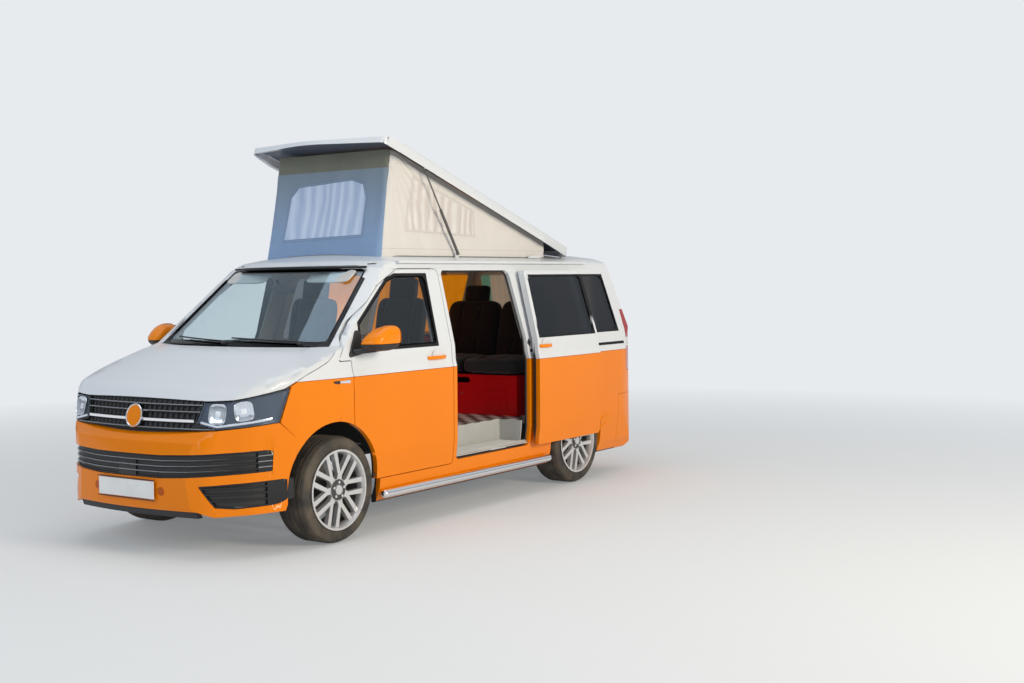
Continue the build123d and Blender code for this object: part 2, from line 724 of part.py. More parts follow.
roof, side_left, side_right = body_sides()
roof = roof - block(APERTURE_REAR_X, APERTURE_FRONT_X, -APERTURE_HALF_WIDTH, APERTURE_HALF_WIDTH, 1700, 2100)
roof = roof - end_prism(both_sides(TAILGATE_EDGE), TAIL_X - 60, TAIL_X + 200, DOOR_GAP)
keep("side_left", *largest(side_left, 1))
keep("side_right", *largest(side_right, 1))


def roof_fittings(panel):
    """Hinge brackets, strut feet and the awning rail, joined to the roof panel."""
    for sign in (-1, 1):
        y_in = sign * (568 + SEAT_CLEARANCE)
        y_out = sign * 588
        bracket = block(LID_HINGE_X - 16, LID_HINGE_X + 16, y_in, y_out, 1880, LID_HINGE_Z + 12)
        pin = cross_rod(LID_HINGE_X, LID_HINGE_Z, LID_PIN_RADIUS, *sorted((sign * 550, y_out)))
        plate_y = sign * (STRUT_Y - STRUT_RADIUS - SEAT_CLEARANCE)
        plate = block(STRUT_FOOT_X - 20, STRUT_FOOT_X + 20, plate_y - sign * 8, plate_y, 1870, STRUT_FOOT_Z + 14)
        panel = panel + bracket + pin + plate
    rail = block(RAIL_REAR_X, RAIL_FRONT_X, 700, RAIL_OUTER_Y, RAIL_Z - 9, RAIL_Z + 9)
    rail = largest(rail - section_bar(0), 1)[0]
    return panel + rail


def front_door(hand_left):
    """A front door as thick as the body wall, its window cut, with its hinge barrels."""
    space = side_prism(DOOR_OUTLINE, 560, FAR_Y) & (section_bar(-20) - section_bar(WALL))
    door = (OUTER & space) - side_prism(DOOR_WINDOW, 560, FAR_Y) - FRONT_ARCHES
    door = largest(door, 1)[0]
    barrels = hinge_barrels(0)
    door = door + (barrels & block(0, DOOR_FRONT_X + 100, 0, FAR_Y, 0, 2000))
    pane = panes["door"]
    if hand_left:
        return door, pane
    return mirrored(door), mirrored(pane)


for side in ["left", "right"]:
    door, pane = front_door(side == "left")
    keep(f"door_{side}", door)
    keep(f"door_glass_{side}", pane)


def door_mirror():
    """A door mirror: foot on the door corner, arm, and a rounded housing."""
    housing = block(MIRROR_REAR_X, MIRROR_FRONT_X, MIRROR_IN_Y, MIRROR_OUT_Y, MIRROR_LOW_Z, MIRROR_HIGH_Z)
    ends = housing.edges().filter_by(Axis.X)
    housing = fillet(ends, MIRROR_CORNER)
    nose_edges = housing.faces().sort_by(Axis.X)[-1].edges()
    housing = fillet(nose_edges, MIRROR_CORNER - 10)
    arm = block(MIRROR_REAR_X + 110, MIRROR_FRONT_X + 25, 925, MIRROR_IN_Y + 60, MIRROR_LOW_Z - 12, MIRROR_LOW_Z + 30, 12)
    foot_rows = [(1245, 1230, 20), (1400, 1206, 15), (1270, 1390, 30), (1225, 1390, 10)]
    foot = side_prism(foot_rows, 880, 934) - section_bar(-SEAT_CLEARANCE)
    foot = largest(foot, 1)[0]
    return housing + arm + foot


mirror_shape = door_mirror()
keep("mirror_left", mirror_shape)
keep("mirror_right", mirrored(mirror_shape))


def sliding_door():
    """The side door, slid back and out, with roller arms that reach the sill and the rail."""
    space = side_prism(SIDE_OPENING, 560, FAR_Y, -DOOR_GAP) & (section_bar(-20) - section_bar(WALL))
    door = (OUTER & space) - side_prism(MIDDLE_WINDOW, 560, FAR_Y) - REAR_ARCHES
    door = Pos(-SLIDE_TRAVEL, SLIDE_OUT, 0) * largest(door, 1)[0]
    front = OPENING_REAR_X
    rail_arm = block(front - 560, front - 480, HALF_WIDTH - 60, HALF_WIDTH + 46, 1120, 1180)
    rail_arm = largest(rail_arm - section_bar(-SEAT_CLEARANCE), 1)[0]
    return door, rail_arm


slide_door, rail_arm = sliding_door()
keep("sliding_door", slide_door + rail_arm)
middle_pane = panes["middle"]
rear_pane = panes["rear"]
slide_pane = Pos(-SLIDE_TRAVEL, SLIDE_OUT, 0) * middle_pane
keep("side_windows", slide_pane, rear_pane, mirrored(rear_pane), mirrored(middle_pane))


def tail_hinges(grow):
    """The barrels of the tailgate's two hinges, level in the gap under the roof's rear edge."""
    rods = [
        cross_rod(TAIL_HINGE_X, TAIL_HINGE_Z, TAIL_HINGE_RADIUS + grow, y - 40 - grow, y + 40 + grow)
        for y in (-TAIL_HINGE_Y, TAIL_HINGE_Y)
    ]
    return rods[0] + rods[1]


def tail_parts():
    """Tailgate with its glass, rear bumper and tail lamps."""
    rows = both_sides(TAILGATE_EDGE)
    window = both_sides(TAIL_WINDOW_EDGE)
    space = end_prism(rows, TAIL_X - 60, TAIL_X + 200)
    gate = (OUTER & space) - INNER
    gate = gate & block(TAIL_X - 60, TAIL_X + 175, -FAR_Y, FAR_Y, 0, 2000)
    gate = gate - end_prism(window, TAIL_X - 60, TAIL_X + 250)
    face = outline(Plane.XZ, TAIL_CURVE, -GLASS_SINK)
    back = outline(Plane.XZ, TAIL_CURVE, -GLASS_SINK - GLASS_THICKNESS)
    layer = extrude(face, amount=1000, both=True) - extrude(back, amount=1000, both=True)
    pane = layer & end_prism(window, TAIL_X - 60, TAIL_X + 250, -SEAT_CLEARANCE)
    lamp = (OUTER & block(TAIL_X - 60, TAIL_LAMP_FRONT_X, 0, FAR_Y, 898, 1437)) - BEHIND_SKIN
    lamp = lamp - end_prism(rows, TAIL_X - 60, TAIL_X + 200, DOOR_GAP)
    zone = block(TAIL_X - 60, REAR_BUMPER_FRONT_X, -FAR_Y, FAR_Y, 0, REAR_BUMPER_TOP_Z)
    rear = (OUTER & zone) - BEHIND_SKIN - UNDERSIDE
    return gate, pane, lamp, rear


gate, gate_pane, tail_lamp, rear_bumper = tail_parts()
keep("roof", *largest(roof_fittings(roof) - tail_hinges(SEAT_CLEARANCE), 1))
keep("tailgate", *largest(largest(gate, 1)[0] + tail_hinges(0), 1))
keep("tailgate_glass", *largest(gate_pane, 1))
keep("rear_plate", *largest(plate(TAIL_X + 16, TAIL_X + 40, REAR_PLATE_Z) - OUTER, 1))
keep("tail_lamps", *largest(tail_lamp, 1), mirrored(largest(tail_lamp, 1)[0]))
keep("rear_bumper", *largest(rear_bumper, 1))


def arch_liner(x, radius, y_inner, y_outer):
    """A wheel housing: a curved wall over the wheel and the plate on its inboard side."""
    outside = radius + LINER_STEP + LINER_THICKNESS
    inside = radius + LINER_STEP
    wall = cross_rod(x, ARCH_Z, outside, y_inner, y_outer) - cross_rod(x, ARCH_Z, inside, y_inner - 5, y_outer + 5)
    plate = cross_rod(x, ARCH_Z, outside, y_inner, y_inner + LINER_THICKNESS)
    liner = wall + plate
    return liner - block(x - outside, x + outside, y_inner - 5, y_outer + 5, 0, ARCH_Z + 25)


def floor_pan():
    """The floor with its rails, bulkhead, step well and wheel housings."""
    low = FLOOR_Z - FLOOR_THICKNESS
    pan = INNER & block(TAIL_X + 60, BULKHEAD_X, -FAR_Y, FAR_Y, low, FLOOR_Z)
    front_hole = arch_cutter(FRONT_ARCH_X, FRONT_ARCH_RADIUS + LINER_MIDDLE, FRONT_WELL_Y + 3)
    rear_hole = arch_cutter(REAR_AXLE_X, REAR_ARCH_RADIUS + LINER_MIDDLE, REAR_WELL_Y + 3)
    pan = pan - rear_hole - front_hole
    well = block(STEP_REAR_X, STEP_FRONT_X, STEP_INNER_Y, FAR_Y, low - 10, FLOOR_Z + 10)
    pan = pan - well
    step = INNER & block(STEP_REAR_X, STEP_FRONT_X, STEP_INNER_Y, FAR_Y, STEP_Z - 12, STEP_Z)
    riser = block(STEP_REAR_X - 12, STEP_FRONT_X + 12, STEP_INNER_Y - 12, STEP_INNER_Y, STEP_Z - 12, FLOOR_Z)
    cheeks = [INNER & block(x, x + 12, STEP_INNER_Y - 12, FAR_Y, STEP_Z - 12, FLOOR_Z - 1)
              for x in (STEP_REAR_X - 12, STEP_FRONT_X)]
    pan = pan + step + riser + cheeks[0] + cheeks[1]
    rails = [block(TAIL_X + 100, 1060, side * 400 - 35, side * 400 + 35, low - 90, low) for side in (-1, 1)]
    bulk_rows = [
        (BULKHEAD_X, low, 0),
        (BULKHEAD_X + 60, 860, 60),
        (1330, 900, 60),
        (1330, 1160, 0),
        (1310, 1160, 0),
        (1310, 915, 45),
        (BULKHEAD_X + 38, 875, 60),
        (BULKHEAD_X - 20, low, 0),
    ]
    bulkhead = INNER & side_prism(bulk_rows, -FAR_Y, FAR_Y)
    bulkhead = bulkhead - front_hole
    pan = pan + rails[0] + rails[1] + bulkhead
    front_liner = arch_liner(FRONT_ARCH_X, FRONT_ARCH_RADIUS, FRONT_WELL_Y, LINER_OUTER_Y)
    rear_liner = arch_liner(REAR_AXLE_X, REAR_ARCH_RADIUS, REAR_WELL_Y, LINER_OUTER_Y)
    rear_liner = rear_liner & INNER
    front_liner = (front_liner & STRUCTURE_FACE) - DOOR_SPACE
    pan = pan + rear_liner + mirrored(rear_liner) + front_liner + mirrored(front_liner)
    return pan


DOOR_SPACE = side_prism(DOOR_OUTLINE, 560, FAR_Y, DOOR_GAP) & (section_bar(-20) - section_bar(WALL + 6))
keep("floor", *largest(floor_pan(), 1))

def along_column(distance):
    """A point on the steering column's axis, so far behind the dashboard."""
    angle = math.radians(STEERING_TILT)
    return (COLUMN_X - distance * math.cos(angle), -CAB_SEAT_Y, COLUMN_Z + distance * math.sin(angle))


def on_column(distance):
    """A plane square to the steering column."""
    angle = math.radians(STEERING_TILT)
    return Plane(origin=along_column(distance), x_dir=(0, 1, 0), z_dir=(-math.cos(angle), 0, math.sin(angle)))


def dashboard():
    """The dashboard with its instrument hood and the steering column."""
    board = side_prism(DASH_ROWS, -DASH_HALF_WIDTH, DASH_HALF_WIDTH)
    hood = block(1080, 1230, -CAB_SEAT_Y - 170, -CAB_SEAT_Y + 170, 1150, 1222, 25)
    column = on_column(-20) * Pos(0, 0, 45) * Cylinder(28, 90)
    shaft_end = 80 + STEERING_GAP - SEAT_CLEARANCE
    shaft = on_column(60) * Pos(0, 0, (shaft_end - 60) / 2) * Cylinder(15, shaft_end - 60)
    return board + hood + column + shaft


def steering_wheel():
    """Rim, three spokes and hub, square to the column."""
    plane = on_column(80 + STEERING_GAP)
    rim = Torus(STEERING_WHEEL_RADIUS, 15)
    hub = Cylinder(58, 34)
    wheel = rim + hub
    for angle in (0, 180, 270):
        spoke = Pos(STEERING_WHEEL_RADIUS / 2 + 15, 0, 0) * Box(STEERING_WHEEL_RADIUS - 30, 38, 14)
        wheel = wheel + spoke.rotate(Axis.Z, angle)
    return plane * Pos(0, 0, 17) * wheel


keep("dashboard", dashboard())
keep("steering_wheel", steering_wheel())


def cab_seat(y):
    """One cab seat: pedestal, cushion, back and headrest."""
    pedestal = block(330, 760, y - 190, y + 190, FLOOR_Z, 900)
    cushion = block(290, 830, y - 245, y + 245, 900, 1030, 40)
    back = block(-70, 70, y - 235, y + 235, 0, 620, 45)
    back = Pos(330, 0, 1000) * back.rotate(Axis.Y, -12)
    head = block(-45, 45, y - 130, y + 130, 0, 185, 35)
    head = Pos(212, 0, 1568) * head.rotate(Axis.Y, -10)
    return [pedestal + cushion + back + head]


keep("cab_seats", *cab_seat(CAB_SEAT_Y), *cab_seat(-CAB_SEAT_Y))


def bench():
    """The rear bench: seat cushion, raked back and two headrests."""
    cushion = block(BENCH_FRONT_X - 560, BENCH_FRONT_X + 30, BENCH_RIGHT_Y, BENCH_LEFT_Y,
                    BENCH_TOP_Z + SEAT_CLEARANCE, BENCH_TOP_Z + SEAT_FOAM, 45)
    back = block(-65, 65, BENCH_RIGHT_Y, BENCH_LEFT_Y, 0, 560, 50)
    back = Pos(BENCH_FRONT_X - 520, 0, BENCH_TOP_Z + 60) * back.rotate(Axis.Y, -14)
    bench_shape = cushion + back
    for y in (BENCH_RIGHT_Y + 285, BENCH_LEFT_Y - 285):
        head = block(-45, 45, y - 130, y + 130, 0, 170, 35)
        bench_shape = bench_shape + Pos(BENCH_FRONT_X - 655, 0, 1500) * head.rotate(Axis.Y, -10)
    return bench_shape


def furniture():
    """Bench base with a hand slot and a drawer, and the cabinet along the right side."""
    base = block(BENCH_FRONT_X - 560, BENCH_FRONT_X, BENCH_RIGHT_Y, BENCH_LEFT_Y, FLOOR_Z, BENCH_TOP_Z)
    base = base - block(BENCH_FRONT_X - 540, BENCH_FRONT_X - 18, BENCH_RIGHT_Y + 18, BENCH_LEFT_Y - 18,
                        FLOOR_Z - 10, BENCH_TOP_Z - 18)
    slot_rows = [(60, BENCH_TOP_Z - 70, 20), (270, BENCH_TOP_Z - 70, 20), (235, BENCH_TOP_Z - 22, 20),
                 (95, BENCH_TOP_Z - 22, 20)]
    base = base - end_prism(slot_rows, BENCH_FRONT_X - 30, BENCH_FRONT_X + 30)
    drawer_line = end_prism([(60, 640, 5), (620, 640, 5), (620, 812, 5), (60, 812, 5)],
                            BENCH_FRONT_X - 4, BENCH_FRONT_X + 10)
    drawer_face = end_prism([(66, 646, 5), (614, 646, 5), (614, 806, 5), (66, 806, 5)],
                            BENCH_FRONT_X - 6, BENCH_FRONT_X + 12)
    base = base - (drawer_line - drawer_face)
    cabinet = INNER & block(CABINET_REAR_X, CABINET_FRONT_X, -FAR_Y, CABINET_Y, FLOOR_Z, CABINET_TOP_Z)
    cabinet = cabinet - REAR_WELLS
    return base - REAR_WELLS, cabinet


keep("bench_seat", bench())
bench_base, cabinet = furniture()
keep("furniture", bench_base, *largest(cabinet, 1))


def flat_bar(start, end, widths, y_face):
    """A straight spoke in the wheel's plane between two places given as radius and angle."""
    width_start, width_end = widths
    ends = []
    for radius, angle in (start, end):
        turn = math.radians(angle)
        ends.append((radius * math.cos(turn), radius * math.sin(turn)))
    run = (ends[1][0] - ends[0][0], ends[1][1] - ends[0][1])
    length = math.hypot(*run)
    side = (-run[1] / length, run[0] / length)
    corners = []
    for (x, z), offset_side in (
        (ends[0], -width_start / 2),
        (ends[1], -width_end / 2),
        (ends[1], width_end / 2),
        (ends[0], width_start / 2),
    ):
        corners.append((x + offset_side * side[0], z + offset_side * side[1]))
    plane = Plane(origin=(0, y_face, 0), x_dir=(1, 0, 0), z_dir=(0, -1, 0))
    return extrude(plane * make_face(Polyline(*corners, close=True).edges()), amount=SPOKE_DEPTH)


def wheel_parts(x, side):
    """A tyre and the rim that it sits on, with hub bore, spokes and brake disc."""
    half = TYRE_WIDTH / 2
    tyre_rows = [
        (RIM_RADIUS - 8, -half + 12, 6),
        (RIM_RADIUS + 30, -half, 18),
        (TYRE_RADIUS - 14, -half + 6, 22),
        (TYRE_RADIUS, -half + 40, 30),
        (TYRE_RADIUS, half - 40, 30),
        (TYRE_RADIUS - 14, half - 6, 22),
        (RIM_RADIUS + 30, half, 18),
        (RIM_RADIUS - 8, half - 12, 6),
        (RIM_RADIUS - 14, half - 30, 4),
        (RIM_RADIUS - 14, -half + 30, 4),
    ]
    rim_rows = [
        (RIM_RADIUS - 9, -half + 6, 0),
        (RIM_RADIUS - 9, -half + 12, 0),
        (RIM_RADIUS - 15, -half + 30, 0),
        (RIM_RADIUS - 15, half - 30, 0),
        (RIM_RADIUS - 9, half - 12, 0),
        (RIM_RADIUS + 4, half - 4, 0),
        (RIM_RADIUS + 4, half + 2, 0),
        (RIM_RADIUS - 10, half + 2, 0),
        (RIM_RADIUS - 24, half - 30, 0),
        (RIM_RADIUS - 26, -half + 30, 0),
        (RIM_RADIUS - 18, -half + 6, 0),
    ]
    tyre = revolve(outline(Plane.XY, tyre_rows), axis=Axis.Y)
    barrel = revolve(make_face(Polyline(*[(r, y) for r, y, _ in rim_rows], close=True).edges()), axis=Axis.Y)
    hub = cross_rod(0, 0, HUB_RADIUS, half - 75, half - 12)
    cap = cross_rod(0, 0, CAP_RADIUS, half - 12, half - 4)
    rim = barrel + hub + cap
    outer_y = half - SPOKE_SINK
    inside_barrel = cross_rod(0, 0, SPOKE_TIP_RADIUS, -half, half)
    for index in range(SPOKE_PAIRS):
        angle = 360 / SPOKE_PAIRS * index
        stem_end = (SPOKE_APEX_RADIUS + SPOKE_SINK, angle)
        rim = rim + flat_bar((HUB_RADIUS - 24, angle), stem_end, SPOKE_STEM_WIDTHS, outer_y)
        for turn in (-SPOKE_SPREAD, SPOKE_SPREAD):
            arm_start = (SPOKE_APEX_RADIUS, angle + turn / 4)
            arm = flat_bar(arm_start, (RIM_RADIUS, angle + turn), SPOKE_ARM_WIDTHS, outer_y)
            rim = rim + (arm & inside_barrel)
    disc = cross_rod(0, 0, DISC_RADIUS, -half + 50, -half + 50 + DISC_THICKNESS)
    disc_hat = cross_rod(0, 0, 72, -half + 50, half - 70)
    rim = rim + disc + disc_hat
    rim = rim - cross_rod(0, 0, SPINDLE_RADIUS + BORE_CLEARANCE, -half, half - 30)
    place = Pos(x, WHEEL_Y, TYRE_RADIUS)
    tyre, rim = place * tyre, place * rim
    if side < 0:
        return mirrored(tyre), mirrored(rim)
    return tyre, rim


for end, axle_x in [("front", FRONT_AXLE_X), ("rear", REAR_AXLE_X)]:
    for side, sign in [("left", 1), ("right", -1)]:
        tyre, rim = wheel_parts(axle_x, sign)
        keep(f"tyre_{end}_{side}", tyre)
        keep(f"rim_{end}_{side}", rim)


def knuckle():
    """The upright that carries a front wheel: spindle, body, ball socket and strut leg."""
    spindle = cross_rod(FRONT_AXLE_X, TYRE_RADIUS, SPINDLE_RADIUS, UPRIGHT_Y - 30, SPINDLE_END_Y)
    body = block(FRONT_AXLE_X - 45, FRONT_AXLE_X + 45, UPRIGHT_Y - 55, UPRIGHT_Y - 12, ARM_Z + 30, 470, 12)
    strut = upright_rod(FRONT_AXLE_X, UPRIGHT_Y - 70, 27, 330, TOWER_Z)
    bridge = block(FRONT_AXLE_X - 30, FRONT_AXLE_X + 30, UPRIGHT_Y - 75, UPRIGHT_Y - 30, 350, 450)
    return spindle + body + strut + bridge


def front_subframe():
    """Cross-member, lower arms out to the ball joints, and the legs up to the floor rails."""
    cross = block(FRONT_AXLE_X - 260, FRONT_AXLE_X - 120, -330, 330, 215, 285, 10)
    shape = cross
    for sign in (-1, 1):
        arm_rows = [
            (FRONT_AXLE_X - 255, sign * 300, 0),
            (FRONT_AXLE_X - 130, sign * 300, 0),
            (FRONT_AXLE_X + 35, sign * (UPRIGHT_Y - 60), 0),
            (FRONT_AXLE_X + 35, sign * (UPRIGHT_Y - 16), 0),
            (FRONT_AXLE_X - 35, sign * (UPRIGHT_Y - 16), 0),
        ]
        face = make_face(Polyline(*[(x, y) for x, y, _ in arm_rows], close=True).edges())
        arm = extrude(Plane.XY.offset(ARM_Z) * face, amount=29.7)
        leg = block(FRONT_AXLE_X - 250, FRONT_AXLE_X - 180, sign * 290 - 30, sign * 290 + 30, 250, 640)
        rail = block(BULKHEAD_X - 30 + SEAT_CLEARANCE, NOSE_X - 140, sign * 400 - 35, sign * 400 + 35, 480, 560)
        tie = block(FRONT_AXLE_X - 250, FRONT_AXLE_X - 180, sign * 290 - 30, sign * 400 + 30, 490, 550)
        shape = shape + arm + leg + rail + tie
    return shape


def rear_axle():
    """Cross-tube, trailing arms, spindles for the rear wheels and springs to the rails."""
    tube = cross_rod(REAR_AXLE_X + 260, 330, 38, -480, 480)
    shape = tube
    for sign in (-1, 1):
        arm = block(REAR_AXLE_X - 50, REAR_AXLE_X + 300, sign * 450 - 30, sign * 450 + 30, 300, 390, 12)
        low, high = sorted((sign * 440, sign * SPINDLE_END_Y))
        spindle = cross_rod(REAR_AXLE_X, TYRE_RADIUS, SPINDLE_RADIUS, low, high)
        spring = upright_rod(REAR_AXLE_X + 120, sign * 420, 48, 350, FLOOR_Z - FLOOR_THICKNESS - 90)
        shape = shape + arm + spindle + spring
    return shape


keep("knuckle_left", knuckle())
keep("knuckle_right", mirrored(knuckle()))
keep("front_subframe", front_subframe())
keep("rear_axle", rear_axle())
keep("engine_block", block(FRONT_AXLE_X - 70, FRONT_AXLE_X + 460, -400, 400, RAIL_TOP + SEAT_CLEARANCE, 960, 20))


def underbody():
    """Fuel tank and the exhaust pipe with its silencer, hung under the floor."""
    under = FLOOR_Z - FLOOR_THICKNESS
    tank = block(-620, 240, 445, 672, 300, under - SEAT_CLEARANCE, 40)
    pipe = Pos(-550, -250, 420) * Cylinder(30, 2700, rotation=(0, 90, 0))
    silencer = Pos(-1900, -250, 420) * Cylinder(95, 560, rotation=(0, 90, 0))
    silencer = silencer + Pos(-300, -250, 420) * Cylinder(70, 420, rotation=(0, 90, 0))
    hangers = [block(x - 10, x + 10, -260, -240, 420, under - SEAT_CLEARANCE) for x in (-1900, -1000, 300)]
    return tank, pipe + silencer + hangers[0] + hangers[1] + hangers[2]


keep("underbody", *underbody())


def sill_bars():
    """Polished step bars along both sills, on brackets."""
    bar = Pos((SILL_BAR_FRONT_X + SILL_BAR_REAR_X) / 2, SILL_BAR_Y, SILL_BAR_Z) * Cylinder(
        SILL_BAR_RADIUS, SILL_BAR_FRONT_X - SILL_BAR_REAR_X, rotation=(0, 90, 0)
    )
    bar = fillet(bar.edges().filter_by(GeomType.CIRCLE), SILL_BAR_RADIUS - 4)
    shape = bar
    for x in (900, 0, -850):
        bracket = block(x - 20, x + 20, 842, SILL_BAR_Y, SILL_BAR_Z - 8, SILL_BAR_Z + 8)
        shape = shape + (bracket - OUTER)
    return largest(shape, 1)[0]


bar = sill_bars()
keep("sill_bars", bar, mirrored(bar))


def lid_turned(shape):
    """Turn a shape drawn with the roof shut up to the raised pose."""
    axis = Axis((LID_HINGE_X, 0, LID_HINGE_Z), (0, 1, 0))
    return shape.rotate(axis, -LID_ANGLE)


def lid_hull(inset):
    """The lid's outer form, drawn in by an inset."""
    rows = LID_SECTION + [LID_CROWN] + [(-y, z, r) for y, z, r in reversed(LID_SECTION)]
    plan_rows = LID_PLAN + [(x, -y, r) for x, y, r in reversed(LID_PLAN[:-1])]
    bar = extrude(outline(Plane.YZ, rows, -inset), amount=2500, both=True)
    plan = extrude(Plane.XY.offset(1700) * outline(Plane.XY, plan_rows, -inset), amount=600)
    side = side_prism(LID_SIDE, -FAR_Y, FAR_Y, -inset)
    return bar & plan & side


def pop_roof():
    """The roof lid: a shallow hull with a rolled rim, hollow below, and its hinge ears."""
    shell = lid_hull(0) - lid_hull(LID_THICKNESS)
    shell = shell - block(LID_REAR_X + 24, LID_FRONT_X - 160, -660, 660, 1700, 1900)
    nose = extrude(outline(Plane.XZ, NOSE_CUT, -LID_ROOF_GAP), amount=HALF_WIDTH, both=True)
    shell = shell - (section_bar(-LID_ROOF_GAP) - nose)
    for sign in (-1, 1):
        shell = shell - block(LID_REAR_X - 10, LID_HINGE_X + 30, sign * 566, sign * 600, 1850, 1958)
    shell = largest(shell, 1)[0]
    for sign in (-1, 1):
        ear = block(LID_HINGE_X - 12, LID_HINGE_X + 12, sign * 552, sign * 568, LID_HINGE_Z - 12, 2000)
        shell = shell + ear
    shell = shell - cross_rod(LID_HINGE_X, LID_HINGE_Z, LID_PIN_RADIUS + BORE_CLEARANCE, -FAR_Y, FAR_Y)
    stud_y = STRUT_Y + 4 + SEAT_CLEARANCE
    shell = lid_turned(largest(shell, 1)[0])
    for sign in (-1, 1):
        stud = cross_rod(STRUT_EYE_X, STRUT_EYE_Z, 7, *sorted((sign * stud_y, sign * (LID_HALF_WIDTH - 15))))
        shell = shell + stud
    return shell


keep("pop_roof", pop_roof())


def canvas():
    """The fabric walls of the raised roof, a hollow wedge between the roof and the lid."""
    lid_plane = lid_turned(block(LID_HINGE_X, LID_FRONT_X, -FAR_Y, FAR_Y, 1000, CANVAS_TOP_SHUT_Z))

    def walls(step):
        corners = [
            (CANVAS_REAR_X + step, 1800),
            (CANVAS_FRONT_X - step, 1800),
            (CANVAS_FRONT_X - step, 1890),
            (CANVAS_FRONT_X - CANVAS_LEAN - step, 2700),
            (CANVAS_REAR_X + step, 2700),
        ]
        half = CANVAS_HALF_WIDTH - step
        plane = Plane(origin=(0, half, 0), x_dir=(1, 0, 0), z_dir=(0, -1, 0))
        return extrude(plane * make_face(Polyline(*corners, close=True).edges()), amount=2 * half)

    wedge = (walls(0) - walls(CANVAS_WALL)) & lid_plane
    return wedge - Pos(0, 0, SEAT_CLEARANCE) * OUTER


keep("roof_canvas", *largest(canvas(), 1))


def strut_parts():
    """Gas struts that lift the lid: hollow cylinders on the roof, rods up to the lid."""
    run_x = STRUT_EYE_X - STRUT_FOOT_X
    run_z = STRUT_EYE_Z - STRUT_FOOT_Z
    length = math.hypot(run_x, run_z)
    direction = (run_x / length, 0, run_z / length)
    cylinders = []
    rods = []
    for sign in (-1, 1):
        foot = Plane(origin=(STRUT_FOOT_X, sign * STRUT_Y, STRUT_FOOT_Z), z_dir=direction)
        bore = Pos(0, 0, 20) * Cylinder(6, STRUT_TUBE)
        tube = foot * Pos(0, 0, STRUT_TUBE / 2) * (Cylinder(STRUT_RADIUS, STRUT_TUBE) - bore)
        rod = foot * Pos(0, 0, length - 8 - STRUT_ROD / 2) * Cylinder(5.5, STRUT_ROD)
        eye = cross_rod(STRUT_EYE_X, STRUT_EYE_Z, 10, sign * STRUT_Y - 4, sign * STRUT_Y + 4)
        cylinders.append(tube)
        rods.append(rod + eye)
    return cylinders, rods


strut_tubes, strut_rods = strut_parts()
keep("strut_cylinders", *strut_tubes)
keep("strut_rods", *strut_rods)

os.makedirs("parts", exist_ok=True)
for name, shape in NODES.items():
    export_step(shape, f"parts/{name}.step")
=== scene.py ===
import math
from functools import reduce

import bmesh
import bpy
import numpy as np
from mathutils import Matrix, Vector


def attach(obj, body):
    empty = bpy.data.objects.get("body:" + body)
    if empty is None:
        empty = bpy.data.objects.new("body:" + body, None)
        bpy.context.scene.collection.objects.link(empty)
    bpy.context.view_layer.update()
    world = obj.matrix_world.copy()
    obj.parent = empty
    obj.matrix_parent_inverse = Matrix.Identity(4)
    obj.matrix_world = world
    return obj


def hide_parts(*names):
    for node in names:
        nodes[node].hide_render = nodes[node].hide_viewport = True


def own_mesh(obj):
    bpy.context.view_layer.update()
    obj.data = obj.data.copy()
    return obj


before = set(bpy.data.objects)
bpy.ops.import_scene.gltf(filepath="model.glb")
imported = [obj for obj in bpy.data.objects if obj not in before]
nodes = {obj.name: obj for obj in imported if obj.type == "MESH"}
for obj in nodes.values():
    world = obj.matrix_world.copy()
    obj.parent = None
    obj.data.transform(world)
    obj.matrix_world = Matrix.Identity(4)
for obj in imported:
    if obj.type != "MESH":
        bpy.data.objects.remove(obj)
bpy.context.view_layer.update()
scene = bpy.context.scene

# The van's own lines, in metres, from the sections of its solids. Windows are corners in x and z, or y and z
BELT = 1.085
FLOOR_Z = 0.600
SIDE_Z = [0.300, 0.548, 1.085, 1.135, 1.240, 1.800, 1.856]
SIDE_Y = [0.918, 0.949, 0.954, 0.938, 0.925, 0.752, 0.724]
BELL_X = -0.525
NOSE_Z = [0.330, 0.560, 0.735, 0.770, 0.800, 0.985, 1.062, 1.290, 1.812]
NOSE_X = [2.470, 2.478, 2.462, 2.425, 2.405, 2.362, 2.285, 1.605, 1.000]
PLAN = [(-1.6, 0.957, 0), (1.45, 0.957, 4.0), (1.96, 0.915, 0.9), (2.19, 0.805, 0.45), (2.375, 0.63, 0.3),
        (2.50, 0.35, 0)]
TAIL_Z = [0.69, 1.10, 1.87]
TAIL_X = [-2.452, -2.448, -2.330]
SLIDE_BACK = -0.975
SLIDE_OUT = 0.086
DOOR_WINDOW = [(0.412, 1.262), (1.24, 1.262), (1.205, 1.43), (0.80, 1.72), (0.70, 1.752), (0.352, 1.752)]
MIDDLE_WINDOW = [(-0.697, 1.262), (0.154, 1.262), (0.104, 1.742), (-0.697, 1.742)]
REAR_WINDOW = [(-2.225, 1.262), (-0.895, 1.262), (-0.895, 1.742), (-2.190, 1.742)]
WINDSCREEN = [(-0.788, 1.296), (0.788, 1.296), (0.652, 1.806), (-0.652, 1.806)]
CLOTH_SIDE_WINDOW = [(-0.529, 2.074), (0.307, 2.100), (0.212, 2.471), (-0.518, 2.251)]
CLOTH_FRONT_WINDOW = [(-0.40, 2.04), (0.37, 2.06), (0.375, 2.33), (0.335, 2.43), (0.22, 2.465), (-0.30, 2.435),
                      (-0.375, 2.36)]
LID_SLOPE = math.tan(math.radians(17.9))
LID_HINGE_X = -1.840
LID_FOOT_Z = 1.931
AXLES = {"front": 1.515, "rear": -1.485}
WHEEL_Y = 0.814
WHEEL_Z = 0.352
SIDES = (("left", 1), ("right", -1))
TURN = 2 * math.pi


def side_y(z):
    """The body's half-width at a height."""
    return np.interp(z, SIDE_Z, SIDE_Y)


